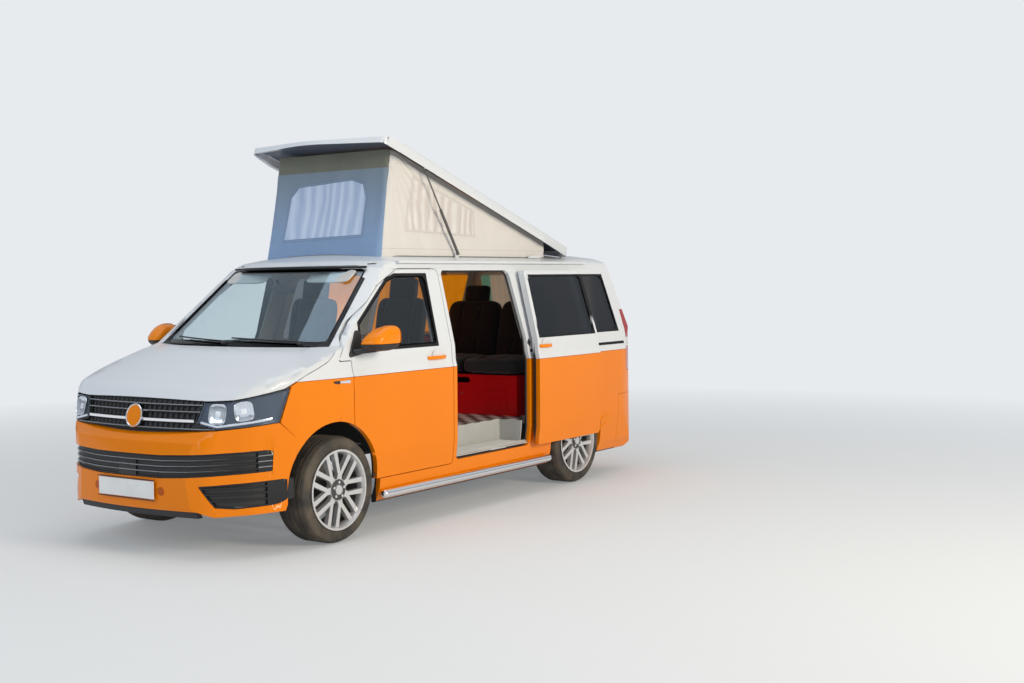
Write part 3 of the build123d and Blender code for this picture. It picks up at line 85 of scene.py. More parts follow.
# Shader tools
class Socket:
    """A node socket that can be used in Python arithmetic; each operator adds a Math node."""

    def __init__(self, tree, socket):
        self.tree = tree
        self.socket = socket

    def maths(self, operation, *values, clamp=False):
        settings = {"operation": operation, "use_clamp": clamp}
        return add_node(self.tree, "Math", settings, dict(enumerate(values)))

    def __add__(self, other):
        return self.maths("ADD", self, other)

    def __sub__(self, other):
        return self.maths("SUBTRACT", self, other)

    def __rsub__(self, other):
        return self.maths("SUBTRACT", other, self)

    def __mul__(self, other):
        return self.maths("MULTIPLY", self, other)

    __radd__ = __add__
    __rmul__ = __mul__

    def above(self, edge, blur=0.0005):
        """1 where the value is over an edge, 0 below, with a narrow slope between."""
        return self.maths("MULTIPLY_ADD", self, 1 / blur, 0.5 - edge / blur, clamp=True)

    def below(self, edge, blur=0.0005):
        return self.maths("MULTIPLY_ADD", self, -1 / blur, 0.5 + edge / blur, clamp=True)

    def between(self, low, high, blur=0.0005):
        return self.above(low, blur) * self.below(high, blur)

    def most(self, other):
        return self.maths("MAXIMUM", self, other)

    def size(self):
        return self.maths("ABSOLUTE", self)

    def root(self):
        return self.maths("SQRT", self)

    def wave(self):
        """The sine, from 0 to 1."""
        return self.maths("SINE", self) * 0.5 + 0.5


def plug(tree, slot, value):
    """Link a socket to an input, or set a plain value on it; a colour of three numbers is made opaque."""
    if isinstance(value, Socket):
        tree.links.new(value.socket, slot)
    elif slot.type == "RGBA":
        slot.default_value = (*value, 1)
    else:
        slot.default_value = value


def add_node(tree, kind, settings=(), inputs=(), out=0):
    """Any node: its settings first, then the values or links of its inputs, by name or number."""
    node = tree.nodes.new("ShaderNode" + kind)
    for key, value in dict(settings).items():
        setattr(node, key, value)
    for key, value in dict(inputs).items():
        plug(tree, node.inputs[key], value)
    return Socket(tree, node.outputs[out])


def split(vector):
    """A vector's three numbers."""
    parts = add_node(vector.tree, "SeparateXYZ", inputs={0: vector})
    return [Socket(vector.tree, out) for out in parts.socket.node.outputs]


def highest(values):
    """The largest of several values at each place."""
    return reduce(Socket.most, values)


def outside(a, b, corners):
    """How far a place is outside a convex outline whose corners run anticlockwise; less than 0 inside."""
    lines = []
    for (a0, b0), (a1, b1) in zip(corners, corners[1:] + corners[:1]):
        length = math.hypot(a1 - a0, b1 - b0)
        na, nb = (b1 - b0) / length, (a0 - a1) / length
        lines.append(a * na + (b * nb - (a0 * na + b0 * nb)))
    return highest(lines)


def stepped(value, xs, ys):
    """A value read off a table of straight runs, as np.interp does."""
    slopes = [0.0] + [rise / run for rise, run in zip(np.diff(ys).tolist(), np.diff(xs).tolist())]
    bends = [(value - x).most(0.0) * (after - before) for x, before, after in zip(xs, slopes, slopes[1:])]
    return reduce(Socket.__add__, bends) + ys[0]


def threads(u, v, pitch):
    """Woven threads both ways at a pitch, from 0 to 1: the sine one way by the sine the other."""
    across, along = ((value * (TURN / pitch)) for value in (u, v))
    return across.maths("SINE", across) * along.maths("SINE", along) * 0.5 + 0.5


class Finish:
    """A material in the making: its nodes, the piece's own coordinates and its shader."""

    def __init__(self, name):
        self.material = bpy.data.materials.new(name)
        self.material.use_nodes = True
        self.tree = self.material.node_tree
        self.shader = self.tree.nodes["Principled BSDF"]

    def set(self, **values):
        """Set or link the shader's own inputs, their names written with underscores."""
        for key, value in values.items():
            plug(self.tree, self.shader.inputs[key.replace("_", " ")], value)

    def node(self, kind, settings=(), inputs=(), out=0):
        return add_node(self.tree, kind, settings, inputs, out)

    def place(self, source="Object"):
        """The piece's own coordinates as three numbers."""
        return split(self.node("TexCoord", out=source))

    def coords(self, scale=(1, 1, 1), source="Object"):
        """The piece's own coordinates, stretched, as a vector."""
        return self.node("Mapping", inputs={"Vector": self.node("TexCoord", out=source), "Scale": scale})

    def noise(self, scale, detail=3.0, stretch=(1, 1, 1), source="Object"):
        """Smooth cloudy values from 0 to 1."""
        spots = self.coords(stretch, source)
        return self.node("TexNoise", inputs={"Vector": spots, "Scale": scale, "Detail": detail})

    def mix(self, factor, low, high):
        """A colour between two others."""
        return self.node("Mix", {"data_type": "RGBA"}, {"Factor": factor, 6: low, 7: high}, 2)

    def relief(self, height, depth):
        """Raise and sink the surface by a height from 0 to 1, over a depth in metres."""
        self.set(Normal=self.node("Bump", inputs={"Strength": 1.0, "Distance": depth, "Height": height}))

    def see_through(self, clear, solid, covered):
        """Glass: a clear colour head-on, and the shader's gloss by the fifth power of the slant; covered is a
        mask of the parts that are painted over."""
        slant = self.node("LayerWeight", inputs={"Blend": 0.5}, out=1)
        gloss = slant.maths("POWER", slant, 5.0)
        share = gloss.maths("MULTIPLY_ADD", gloss, 1 - solid, solid, clamp=True)
        share = share if covered is None else share.most(covered)
        window = self.node("BsdfTransparent", inputs={0: clear})
        surface = Socket(self.tree, self.shader.outputs[0])
        shown = self.node("MixShader", inputs={0: share, 1: window, 2: surface})
        plug(self.tree, self.tree.nodes["Material Output"].inputs["Surface"], shown)


WHITE = (0.72, 0.745, 0.78)
ORANGE = (0.90, 0.245, 0.0)
DEEP_ORANGE = (0.82, 0.20, 0.0)
SEAL = (0.012, 0.012, 0.014)
# The belt crease's painted shadow: a dark orange for a thin line along it
BELT_CREASE_SHADOW = (0.42, 0.075, 0.004)
INNER_BLACK = (0.035, 0.035, 0.037)
INNER_GREY = (0.36, 0.35, 0.33)
PAINT_GLOSS = {"Coat_Weight": 0.25, "Coat_Roughness": 0.05, "Specular_IOR_Level": 0.12}


def two_tone_paint(f):
    """Gloss paint: white above the belt crease and orange below it, a thin dark orange line along the crease
    that is its painted shadow, black seals round the side windows, the black slot of the sliding door's rail,
    and bare trim on the faces that look into the van."""
    x, y, z = f.place()
    orange = f.mix(f.noise(900, 1.0) * 0.5 + f.noise(2.2, 2.0) * 0.5, DEEP_ORANGE, ORANGE)
    color = f.mix(z.above(BELT), orange, WHITE)
    # Painted shadow of the belt crease: a thin dark orange line along it
    color = f.mix(z.between(BELT - 0.0025, BELT + 0.0015), color, BELT_CREASE_SHADOW)
    slid = y.above(0.97, 0.02) * x.below(-0.74)
    dark = highest([
        outside(x, z, DOOR_WINDOW).below(0.019),
        slid * outside(x - SLIDE_BACK, z, MIDDLE_WINDOW).below(0.013),
        y.below(0.0) * outside(x, z, MIDDLE_WINDOW).below(0.013),
        (1 - slid) * outside(x, z, REAR_WINDOW).below(0.013) * x.below(-0.80),
        z.between(1.136, 1.160) * x.between(-2.30, -0.78) * y.between(0.90, 0.965, 0.002),
        outside(y, z, WINDSCREEN).below(0.022) * x.above(0.93) * z.above(1.285)])
    across = x - BELL_X
    behind = (stepped(z, NOSE_Z, NOSE_X) - BELL_X - (across * across + y * y).root()).above(0.042, 0.004)
    depth = stepped(z, SIDE_Z, SIDE_Y) + slid * SLIDE_OUT - y.size()
    inside = depth.above(0.034, 0.004) * x.between(-2.20, 1.36, 0.01) * behind
    color = f.mix(dark, color, SEAL)
    color = f.mix(inside, color, f.mix(z.above(1.25, 0.01), INNER_BLACK, INNER_GREY))
    f.set(Base_Color=color, Roughness=dark.most(inside) * 0.30 + 0.26, **PAINT_GLOSS)
    f.relief(f.noise(3, 2.0), 0.0003)


def plain_paint(f, color, gasket=0.0):
    """Gloss paint of one colour with a fine flake, and a black gasket of some width round the windscreen."""
    shade = f.mix(f.noise(900, 1.0), tuple(c * 0.95 for c in color), color)
    if gasket:
        x, y, z = f.place()
        shade = f.mix(outside(y, z, WINDSCREEN).below(gasket) * x.above(0.85), shade, SEAL)
    f.set(Base_Color=shade, Roughness=0.28, **PAINT_GLOSS)
    f.relief(f.noise(3, 2.0), 0.0003)


def lid_paint(f):
    """The lid: white gelcoat above, and on the faces that look down a grey-blue lining, darkened and blued
    partly as painted shade.
    """
    down = split(f.node("NewGeometry", out="Normal"))[2].below(-0.55, 0.1)
    inner = f.place()[1].size().below(0.645, 0.004)
    cloud = f.noise(5, 4.0)
    # The lining's dark blue is partly painted shade under the lid
    lining_and_painted_shade = f.mix(cloud, (0.055, 0.075, 0.12), (0.09, 0.12, 0.18))
    white = f.mix(cloud, (0.70, 0.72, 0.75), WHITE)
    f.set(Base_Color=f.mix(down * inner, white, lining_and_painted_shade), Roughness=0.32, Coat_Weight=0.7, Coat_Roughness=0.08)
    f.relief(f.noise(4, 2.0), 0.0004)


def moulded(f, color, rough=0.55, grain=0.00012):
    """Moulded plastic with a fine grain and slightly uneven gloss."""
    cloud = f.noise(6, 3.0)
    pale = tuple(c * 1.35 + 0.004 for c in color)
    f.set(Base_Color=f.mix(cloud, color, pale), Roughness=cloud * 0.14 + (rough - 0.07))
    f.relief(f.noise(1400, 2.0), grain)


def metal(f, color, rough, dirt=0.0):
    """Bare or lacquered metal with faint dirt."""
    cloud = f.noise(14, 4.0)
    dusty = f.mix(cloud * dirt, color, (0.16, 0.13, 0.09))
    f.set(Base_Color=dusty, Roughness=cloud * 0.1 + (rough - 0.04), Metallic=1.0)


def wheel_silver(f):
    """Silver wheel lacquer: bright on the outer face, and deep inside the barrel darkened to a brownish
    near-black as painted shade of the recess.
    """
    deep_barrel_shade = f.place()[1].size().below(0.885, 0.010)
    cloud = f.noise(18, 4.0)
    silver = f.mix(cloud, (0.60, 0.60, 0.61), (0.74, 0.74, 0.75))
    # Painted shade: the barrel darkens towards its deep inner part
    silver = f.mix(deep_barrel_shade * 0.85, silver, (0.05, 0.045, 0.04))
    f.set(Base_Color=silver, Roughness=deep_barrel_shade * 0.3 + cloud * 0.1 + 0.24, Metallic=0.55)


def grille_black(f):
    """Gloss black grilles, with a satin grey line along the top of each slat that is a painted highlight."""
    x, y, z = f.place()
    rise = (y.size() - 0.3).most(0.0) * (0.024 / 0.526)
    slats = [(0.958, z), (0.916, z), (0.811, z)] + [(level, z - rise) for level in (0.543, 0.578, 0.613)]
    # Painted highlight: a grey line along the top edge of each slat
    edge = highest([height.between(level + 0.0008, level + 0.0055) for level, height in slats])
    cloud = f.noise(8, 3.0)
    black = f.mix(cloud, (0.006, 0.006, 0.008), (0.014, 0.014, 0.016))
    f.set(Base_Color=f.mix(edge, black, (0.30, 0.31, 0.33)), Roughness=edge * 0.15 + cloud * 0.08 + 0.14)


def glazing(f, clear, solid, tint=(0.85, 0.92, 1.0), outline=None, border=0.0, axes=(1, 2), band=None):
    """Window glass: clear to look through, with a mirror's gloss that grows at a slant, a faint film, and a
    painted border inside an outline; band is a place along the first axis behind which it is all painted."""
    f.set(Base_Color=tint, Roughness=f.noise(5, 3.0) * 0.02 + 0.01, Metallic=1.0)
    covered = None
    if outline:
        place = f.place()
        a, b = place[axes[0]], place[axes[1]]
        covered = outside(a, b, outline).above(-border)
        if band:
            covered = covered.most(a.below(band))
        f.set(Base_Color=f.mix(covered, tint, SEAL))
    f.see_through(clear, solid, covered)


def rubber(f):
    """Tyre rubber: near black, with patches of road dust over it."""
    dust = f.noise(9, 5.0).above(0.52, 0.35) * 0.55
    f.set(Base_Color=f.mix(dust, (0.026, 0.024, 0.022), (0.17, 0.135, 0.095)), Roughness=dust * 0.2 + 0.68)
    f.relief(f.noise(300, 3.0), 0.0003)


def weave(f, color, pale):
    """Woven seat cloth with soft uneven shade, worn a little paler."""
    x, y, z = f.place()
    cloth = threads(x + y, z, 0.0016)
    color = f.mix(cloth * 0.45 + f.noise(5, 4.0) * 0.4, color, pale)
    f.set(Base_Color=color, Roughness=0.88, Sheen_Weight=0.25, Sheen_Roughness=0.5)
    f.relief(cloth, 0.0003)


def roof_canvas(f):
    """Coated canvas, laid out by its own flat map: one grey cloth, painted blue-grey in front as painted
    shade, darker towards the lid, with a dark olive band under the lid that is the lid's painted shadow, and
    pale warm beige-grey at the sides as painted sunlight; each window has a bound edge with a stitched line
    and a drawn curtain behind, its folds painted as light and shade."""
    u, v, w = f.place("UV")
    front = u.between(5, 15)
    sides = u.below(5)
    cloud = f.noise(7, 4.0, source="UV")
    cloth = threads(u, v, 0.0022)
    shade = cloth * 0.3 + cloud * 0.6
    # Painted light: the sides' pale warm cloth is the cloth in sunlight, the front's blue-grey the same cloth
    # in shade, darker near the lid
    sunlit_side_cloth = f.mix(shade, (0.66, 0.63, 0.60), (0.78, 0.75, 0.72))
    shaded_front_low_cloth = f.mix(shade, (0.20, 0.31, 0.50), (0.27, 0.39, 0.60))
    shaded_front_high_cloth = f.mix(shade, (0.18, 0.24, 0.30), (0.25, 0.31, 0.38))
    color = f.mix(front, sunlit_side_cloth, f.mix(v.above(2.25, 0.5), shaded_front_low_cloth, shaded_front_high_cloth))
    # Painted shadow of the lid: a dark olive band across the top of the front
    painted_lid_shadow = f.mix(cloud, (0.14, 0.145, 0.11), (0.20, 0.205, 0.16))
    color = f.mix(front * v.above(2.545, 0.003), color, painted_lid_shadow)
    lid_line = (u - LID_HINGE_X) * LID_SLOPE + LID_FOOT_Z
    color = f.mix((1 - front) * (lid_line - v).below(0.040, 0.002) * sides, color, (0.36, 0.34, 0.32))
    color = f.mix(v.between(1.952, 1.955, 0.001) * (1 - front) * 0.5, color, (0.30, 0.29, 0.28))
    side_gap, front_gap = outside(u, v, CLOTH_SIDE_WINDOW), outside(u - 10.0, v, CLOTH_FRONT_WINDOW)
    pane = side_gap.below(0.0) * sides + front_gap.below(0.0) * front
    bound, stitch = (side_gap.between(low, high) * sides + front_gap.between(low, high) * front
                     for low, high in ((0.0, 0.022), (0.010, 0.0125)))
    stitch = stitch * u.maths("WRAP", u + v, 0.012, 0.0).below(0.007)
    folds = (u * 70.0 + f.noise(3.0, 2.0, (1, 0.35, 1), "UV") * 16.0).wave()
    folds_with_painted_shade = folds * 0.45 + f.noise(1.0, 3.0, (70, 3.5, 1), "UV") * 0.55
    # Painted shade in the curtains' folds; the front curtain is the same cloth, bluer as painted shade
    side_curtain = f.mix(folds_with_painted_shade, (0.52, 0.46, 0.43), (0.86, 0.84, 0.82))
    shaded_front_curtain = f.mix(folds_with_painted_shade, (0.33, 0.44, 0.66), (0.70, 0.80, 0.96))
    color = f.mix(pane, color, f.mix(front, side_curtain, shaded_front_curtain))
    # The front's bound edge and stitches are darker and bluer than at the sides as painted shade
    color = f.mix(bound * 0.5, color, f.mix(front, (0.60, 0.57, 0.54), (0.16, 0.24, 0.36)))
    color = f.mix(stitch * 0.8, color, f.mix(front, (0.36, 0.33, 0.31), (0.42, 0.52, 0.68)))
    f.set(Base_Color=color, Roughness=0.82, Sheen_Weight=0.15, Sheen_Roughness=0.5)
    f.relief(cloth * 0.12 + bound * 0.5 + pane * folds_with_painted_shade * 0.9, 0.0025)


def curtain_cloth(f, low, high, glow, edge=None):
    """Thin curtain cloth, uneven in tone, that glows by its own emission as painted daylight through it; edge
    is where a green width starts.
    """
    cloud = f.noise(9, 3.0)
    x, y, z = f.place()
    cloth = threads(x + y, z, 0.0018)
    shade = f.mix(cloud * 0.7 + cloth * 0.3, low, high)
    if edge:
        shade = f.mix(y.below(edge, 0.01), shade, f.mix(cloud, (0.08, 0.20, 0.13), (0.13, 0.28, 0.19)))
    # The emission is painted light: daylight shining through the cloth
    f.set(Base_Color=shade, Roughness=0.85, Emission_Color=shade, Emission_Strength=glow)
    f.relief(cloth, 0.0002)


def floor_finish(f):
    """The floor: vinyl in black and white squares on top, pale step trim in the well, dark metal below."""
    x, y, z = f.place()
    squares = f.node("TexChecker", inputs={"Vector": f.coords(), "Scale": 1 / 0.085}, out=1)
    cloud = f.noise(7, 4.0)
    top = z.between(0.597, 0.604)
    step = x.between(-0.70, 0.16) * y.above(0.676) * z.between(0.41, 0.5975)
    vinyl = f.mix(squares, (0.020, 0.020, 0.022), (0.60, 0.585, 0.55))
    dark = f.mix(cloud, (0.022, 0.022, 0.023), (0.05, 0.048, 0.045))
    pale = f.mix(cloud, (0.40, 0.40, 0.39), (0.52, 0.52, 0.50))
    f.set(Base_Color=f.mix(top, f.mix(step, dark, pale), vinyl), Roughness=top * -0.3 + 0.72)
    f.relief(f.noise(700, 2.0), 0.0002)


def lamp_glow(f, color, strength):
    """A bulb's frosted glass, faintly lit."""
    glow = f.mix(f.noise(40, 2.0), color, (1, 1, 1))
    f.set(Base_Color=color, Roughness=0.25, Coat_Weight=1.0, Emission_Color=glow, Emission_Strength=strength)


def tail_lamp_red(f):
    """Red lamp plastic with a clear band across and fine ribs behind."""
    z = f.place()[2]
    ribs = (z * (TURN / 0.012)).wave()
    red = f.mix(ribs * 0.5, (0.42, 0.006, 0.008), (0.24, 0.003, 0.005))
    clear = f.mix(ribs, (0.55, 0.52, 0.50), (0.75, 0.73, 0.70))
    f.set(Base_Color=f.mix(z.between(1.11, 1.19, 0.001), red, clear), Roughness=0.12, Coat_Weight=1.0)
    f.relief(ribs, 0.0006)


# Each finish: how it is made, its name and values, the slot that added pieces fill, the solids that wear it
FINISHES = [
    (two_tone_paint, "two_tone_paint", (), "paint_two_tone",
     "door_left door_right front_bumper front_wings rear_bumper side_left side_right sliding_door tailgate"),
    (plain_paint, "white_paint", (WHITE,), "paint_white", "bonnet"),
    (plain_paint, "roof_paint", (WHITE, 0.024), "paint_white", "roof"),
    (lid_paint, "lid_paint", (), "paint_white", "pop_roof"),
    (plain_paint, "orange_paint", (ORANGE,), "paint_two_tone", ""),
    (plain_paint, "deep_orange", ((0.50, 0.10, 0.004),), "paint_two_tone", ""),
    (plain_paint, "red_paint", ((0.80, 0.010, 0.014),), "furniture", "furniture"),
    (grille_black, "grille_black", (), "gloss_black", "grille lower_grille"),
    (moulded, "black_plastic", ((0.018, 0.018, 0.020),), None,
     "dashboard front_frame steering_wheel mirror_left mirror_right front_lip"),
    (moulded, "gloss_black", ((0.008, 0.008, 0.010), 0.16, 0.00002), None, ""),
    (moulded, "grey_plastic", ((0.16, 0.165, 0.17), 0.6), "black_plastic", ""),
    (moulded, "pale_plastic", ((0.48, 0.475, 0.46), 0.5), "floor", ""),
    (moulded, "dish_white", ((0.62, 0.64, 0.67), 0.3, 0.00002), "paint_white", ""),
    (moulded, "plate_white", ((0.70, 0.70, 0.69), 0.3, 0.00003), "plate", "front_plate rear_plate"),
    (wheel_silver, "alloy", (), None, "rim_front_left rim_front_right rim_rear_left rim_rear_right"),
    (metal, "dark_alloy", ((0.12, 0.12, 0.125), 0.42, 0.3), "alloy", ""),
    (metal, "chrome", ((0.84, 0.85, 0.87), 0.08), None, "sill_bars"),
    (metal, "mirror_glass", ((0.70, 0.72, 0.75), 0.05), "chrome", ""),
    (metal, "bezel", ((0.07, 0.085, 0.115), 0.22), "lamp", ""),
    (metal, "steel", ((0.16, 0.16, 0.17), 0.55, 0.5), None,
     "engine_block front_subframe rear_axle knuckle_left knuckle_right underbody strut_cylinders strut_rods"),
    (rubber, "tyre_rubber", (), "tyre", "tyre_front_left tyre_front_right tyre_rear_left tyre_rear_right"),
    (glazing, "windscreen_glass", ((0.90, 0.95, 0.96), 0.07, (0.72, 0.86, 1.0), WINDSCREEN, 0.022), "glass",
     "windscreen"),
    (glazing, "door_glass", ((0.90, 0.93, 0.93), 0.03, (0.85, 0.92, 1.0), DOOR_WINDOW, 0.014, (0, 2), 0.418),
     "glass", "door_glass_left door_glass_right"),
    (glazing, "privacy_glass", ((0.40, 0.40, 0.41), 0.05), "privacy_glass", "side_windows tailgate_glass"),
    (glazing, "lens_clear", ((0.95, 0.97, 1.0), 0.08, (0.75, 0.86, 1.0)), "lamp", "headlamps"),
    (lamp_glow, "bright_bulb", ((0.8, 0.82, 0.85), 0.15), "lamp", ""),
    (tail_lamp_red, "tail_red", (), "tail_lamp", "tail_lamps"),
    # The curtains glow by their third number: painted daylight shining through the cloth
    (curtain_cloth, "curtain_orange", ((0.80, 0.22, 0.002), (0.98, 0.36, 0.01), 0.42), "seat_fabric", ""),
    (curtain_cloth, "curtain_beige", ((0.30, 0.24, 0.17), (0.48, 0.40, 0.30), 0.45, -0.49), "seat_fabric", ""),
    (weave, "seat_cloth", ((0.007, 0.007, 0.008), (0.026, 0.026, 0.030)), "seat_fabric",
     "bench_seat cab_seats"),
    (roof_canvas, "canvas_cloth", (), "canvas", "roof_canvas"),
    (floor_finish, "floor_vinyl", (), "floor", "floor"),
]


def shade(obj, angle):
    """Smooth shading, sharp where two faces meet at more than an angle in degrees."""
    with bpy.context.temp_override(object=obj, active_object=obj, selected_objects=[obj]):
        bpy.ops.object.shade_auto_smooth(angle=math.radians(angle))


def smooth(obj):
    """Merge a solid's doubled points and shade it, leaving its shape as it is."""
    obj.modifiers.new("weld", "WELD").merge_threshold = 0.00001
    shade(obj, 28)
    level = obj.modifiers.new("level", "WEIGHTED_NORMAL")
    level.keep_sharp = True
    level.weight = 60


look, slot_of = {}, {}
for make, name, values, slot, wearers in FINISHES:
    finish = Finish(name)
    make(finish, *values)
    look[name], slot_of[name] = finish.material, slot
    for wearer in wearers.split():
        solid = nodes[wearer]
        solid.data.materials.clear()
        solid.data.materials.append(look[name])
        smooth(solid)


# Shapes as arrays
def unit(vector):
    """Vectors drawn to a length of one."""
    return vector / np.linalg.norm(vector, axis=-1, keepdims=True)


def rounded(rows, steps=7):
    """A closed outline of corners (a, b, radius): each rounded corner is an arc that touches both sides."""
    points = []
    for i, (a, b, radius) in enumerate(rows):
        here = np.array([a, b], float)
        if radius == 0:
            points.append(here[None])
            continue
        back = unit(np.array(rows[i - 1][:2]) - here)
        ahead = unit(np.array(rows[(i + 1) % len(rows)][:2]) - here)
        half = math.acos(np.clip(back @ ahead, -1, 1)) / 2
        centre = here + unit(back + ahead) * radius / math.sin(half)
        start = here + back * radius / math.tan(half) - centre
        end = here + ahead * radius / math.tan(half) - centre
        turn = np.linspace(0, math.atan2(start[0] * end[1] - start[1] * end[0], start @ end), steps)
        arc = np.stack([start[0] * np.cos(turn) - start[1] * np.sin(turn),
                        start[0] * np.sin(turn) + start[1] * np.cos(turn)], 1)
        points.append(centre + arc)
    return np.concatenate(points)


def spaced(path, count, closed=False):
    """A path's points laid out again at even steps along its length."""
    path = np.asarray(path, float)
    if closed:
        path = np.concatenate([path, path[:1]])
    run = np.concatenate([[0], np.cumsum(np.linalg.norm(np.diff(path, axis=0), axis=1))])
    places = np.linspace(0, run[-1], count, endpoint=not closed)
    return np.stack([np.interp(places, run, column) for column in path.T], 1)


def ring(radius, count=16):
    """A circle's points."""
    angle = np.linspace(0, TURN, count, endpoint=False)
    return np.stack([radius * np.cos(angle), radius * np.sin(angle)], 1)


def bar(width, height, radius):
    """A rounded rectangle's points about its middle."""
    a, b = width / 2, height / 2
    return rounded([(-a, -b, radius), (a, -b, radius), (a, b, radius), (-a, b, radius)], 4)


def net(points, around=False, along=False, caps=False):
    """Rows of points as four-sided faces; around joins each row's ends, along the first row and the last."""
    rows, columns = points.shape[:2]
    index = np.arange(rows * columns).reshape(rows, columns)
    if around:
        index = np.concatenate([index, index[:, :1]], 1)
    if along:
        index = np.concatenate([index, index[:1]], 0)
    faces = np.stack([index[:-1, :-1], index[:-1, 1:], index[1:, 1:], index[1:, :-1]], -1)
    faces = faces.reshape(-1, 4).tolist()
    if caps:
        faces += [list(range(columns))[::-1], list(range((rows - 1) * columns, rows * columns))]
    return points.reshape(-1, 3), faces


def sweep(path, outline, up=(0, 0, 1), closed=False):
    """An outline carried along a path: square to the path at each point, its second axis nearest to up."""
    path = np.asarray(path, float)
    ahead = np.roll(path, -1, 0) - np.roll(path, 1, 0) if closed else np.gradient(path, axis=0)
    ahead = unit(ahead)
    side = unit(np.cross(ahead, np.broadcast_to(up, path.shape)))
    top = np.cross(side, ahead)
    points = path[:, None] + side[:, None] * outline[None, :, :1] + top[:, None] * outline[None, :, 1:]
    return net(points, around=True, along=closed, caps=not closed)


def rod(ends, radius, up=(0, 1, 0)):
    """A round bar through a few points."""
    return sweep(ends, ring(radius), up)


def turned(rows, centre, axis=(0, 1, 0), count=48):
    """Rows of radius and reach turned about an axis through a centre."""
    axis = unit(np.array(axis, float))
    first = unit(np.cross(axis, (0, 0, 1.0)))
    second = np.cross(axis, first)
    angle = np.linspace(0, TURN, count, endpoint=False)
    spoke = np.cos(angle)[:, None] * first + np.sin(angle)[:, None] * second
    rows = np.asarray(rows, float)
    points = rows[:, None, :1] * spoke[None] + rows[:, None, 1:] * axis + np.asarray(centre, float)
    return net(points, around=True)


def brick(low, high):
    """A box between two corners."""
    a, b = np.array(low, float), np.array(high, float)
    pick = np.array([[0, 0, 0], [1, 0, 0], [1, 1, 0], [0, 1, 0], [0, 0, 1], [1, 0, 1], [1, 1, 1], [0, 1, 1]])
    faces = [[0, 3, 2, 1], [4, 5, 6, 7], [0, 1, 5, 4], [1, 2, 6, 5], [2, 3, 7, 6], [3, 0, 4, 7]]
    return a + pick * (b - a), faces


def slab(outline, levels, shares=(1.0, 1.0), wall=lambda x, z: side_y(z)):
    """A plate on a wall: an outline in x and z at each level out from it, drawn in about its middle."""
    outline = np.array(outline)
    middle = outline.mean(0)
    rows = []
    for level, share in zip(levels, shares):
        x, z = (middle + (outline - middle) * share).T
        rows.append(np.stack([x, wall(x, z) + level, z], 1))
    return net(np.array(rows), around=True, caps=True)


def power(value, exponent):
    """A signed power, which makes a circle's sine or cosine square off."""
    return np.sign(value) * np.abs(value) ** exponent


def pillow(size, crown=0.0, pull=0.0, square=0.35, edge=0.5, seams=()):
    """A squared-off ball of half sizes (a, b, c): its broad faces rise by crown towards the middle, its sides
    draw in by pull between the corners, and seams are places across b where a sewn line sinks in."""
    u, v = np.meshgrid(np.linspace(0, TURN, 64, endpoint=False), np.linspace(-np.pi / 2, np.pi / 2, 33))
    a = power(np.cos(v), edge) * power(np.cos(u), square)
    b = power(np.cos(v), edge) * power(np.sin(u), square)
    c = power(np.sin(v), edge)
    rise = crown * (1 - a ** 2) * (1 - b ** 2)
    points = np.stack([size[0] * a * (1 - pull * (1 - b ** 2)), size[1] * b * (1 - pull * (1 - a ** 2)),
                       size[2] * c + np.sign(c) * rise], -1)
    for place in seams:
        sink = 0.014 * np.exp(-((points[..., 1] - place) / 0.012) ** 2) * (1 - a ** 4)
        points[..., 2] -= np.sign(c) * sink
    return net(points, around=True)


def placed(part, move, lean=0.0):
    """A part leaned about Y by some degrees, then moved."""
    points, faces = part
    c, s = math.cos(math.radians(lean)), math.sin(math.radians(lean))
    x = points[:, 0] * c + points[:, 2] * s
    z = points[:, 2] * c - points[:, 0] * s
    return np.stack([x, points[:, 1], z], 1) + np.array(move), faces


def other_side(part):
    """The same part on the van's other side."""
    points, faces = part
    return points * (1, -1, 1), [face[::-1] for face in faces]


def on_side(mark, *parts):
    """Parts made for the left, as they are for a mark of 1 and mirrored for -1."""
    return list(parts) if mark > 0 else [other_side(part) for part in parts]


def piece(name, finish, parts, body="body", both=False, bevel=0.0, angle=32, open_sheet=False, flat=None):
    """One object from one or more parts, its doubles merged and its faces turned outwards; flat is a map of
    two numbers for each corner of each face."""
    if both:
        parts = parts + on_side(-1, *parts)
    mesh = bpy.data.meshes.new(name)
    build = bmesh.new()
    layer = None if flat is None else build.loops.layers.uv.new("flat")
    for points, faces in parts:
        fresh = [build.verts.new(point) for point in points]
        for number, face in enumerate(faces):
            made = build.faces.new([fresh[i] for i in face])
            if layer is not None:
                for corner, place in zip(made.loops, flat[number]):
                    corner[layer].uv = place
    bmesh.ops.remove_doubles(build, verts=build.verts, dist=0.000002)
    bmesh.ops.dissolve_degenerate(build, dist=0.000001, edges=build.edges)
    if not open_sheet:
        bmesh.ops.recalc_face_normals(build, faces=build.faces)
    build.to_mesh(mesh)
    build.free()
    obj = bpy.data.objects.new(name, mesh)
    scene.collection.objects.link(obj)
    mesh.materials.append(look[finish])
    if bevel:
        tool = obj.modifiers.new("bevel", "BEVEL")
        tool.width = bevel
        tool.segments = 3
        tool.limit_method = "ANGLE"
    shade(obj, angle)
    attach(obj, body)
    return obj


# The nose: a curve turned about an upright axis, held within the plan
PLAN_LINE = rounded(PLAN)[::-1] - (BELL_X, 0)


def reach(theta, z):
    """How far the nose stands from its upright axis, at an angle and a height."""
    angles = np.arctan2(PLAN_LINE[:, 1], PLAN_LINE[:, 0])
    wall = np.interp(np.abs(theta), angles, np.hypot(PLAN_LINE[:, 1], PLAN_LINE[:, 0]))
    return np.minimum(np.interp(z, NOSE_Z, NOSE_X) - BELL_X, wall)


def about_axis(far, theta, z):
    """The place at a distance from the nose's axis, an angle and a height."""
    return np.stack([BELL_X + far * np.cos(theta), far * np.sin(theta), z + 0 * theta], -1)


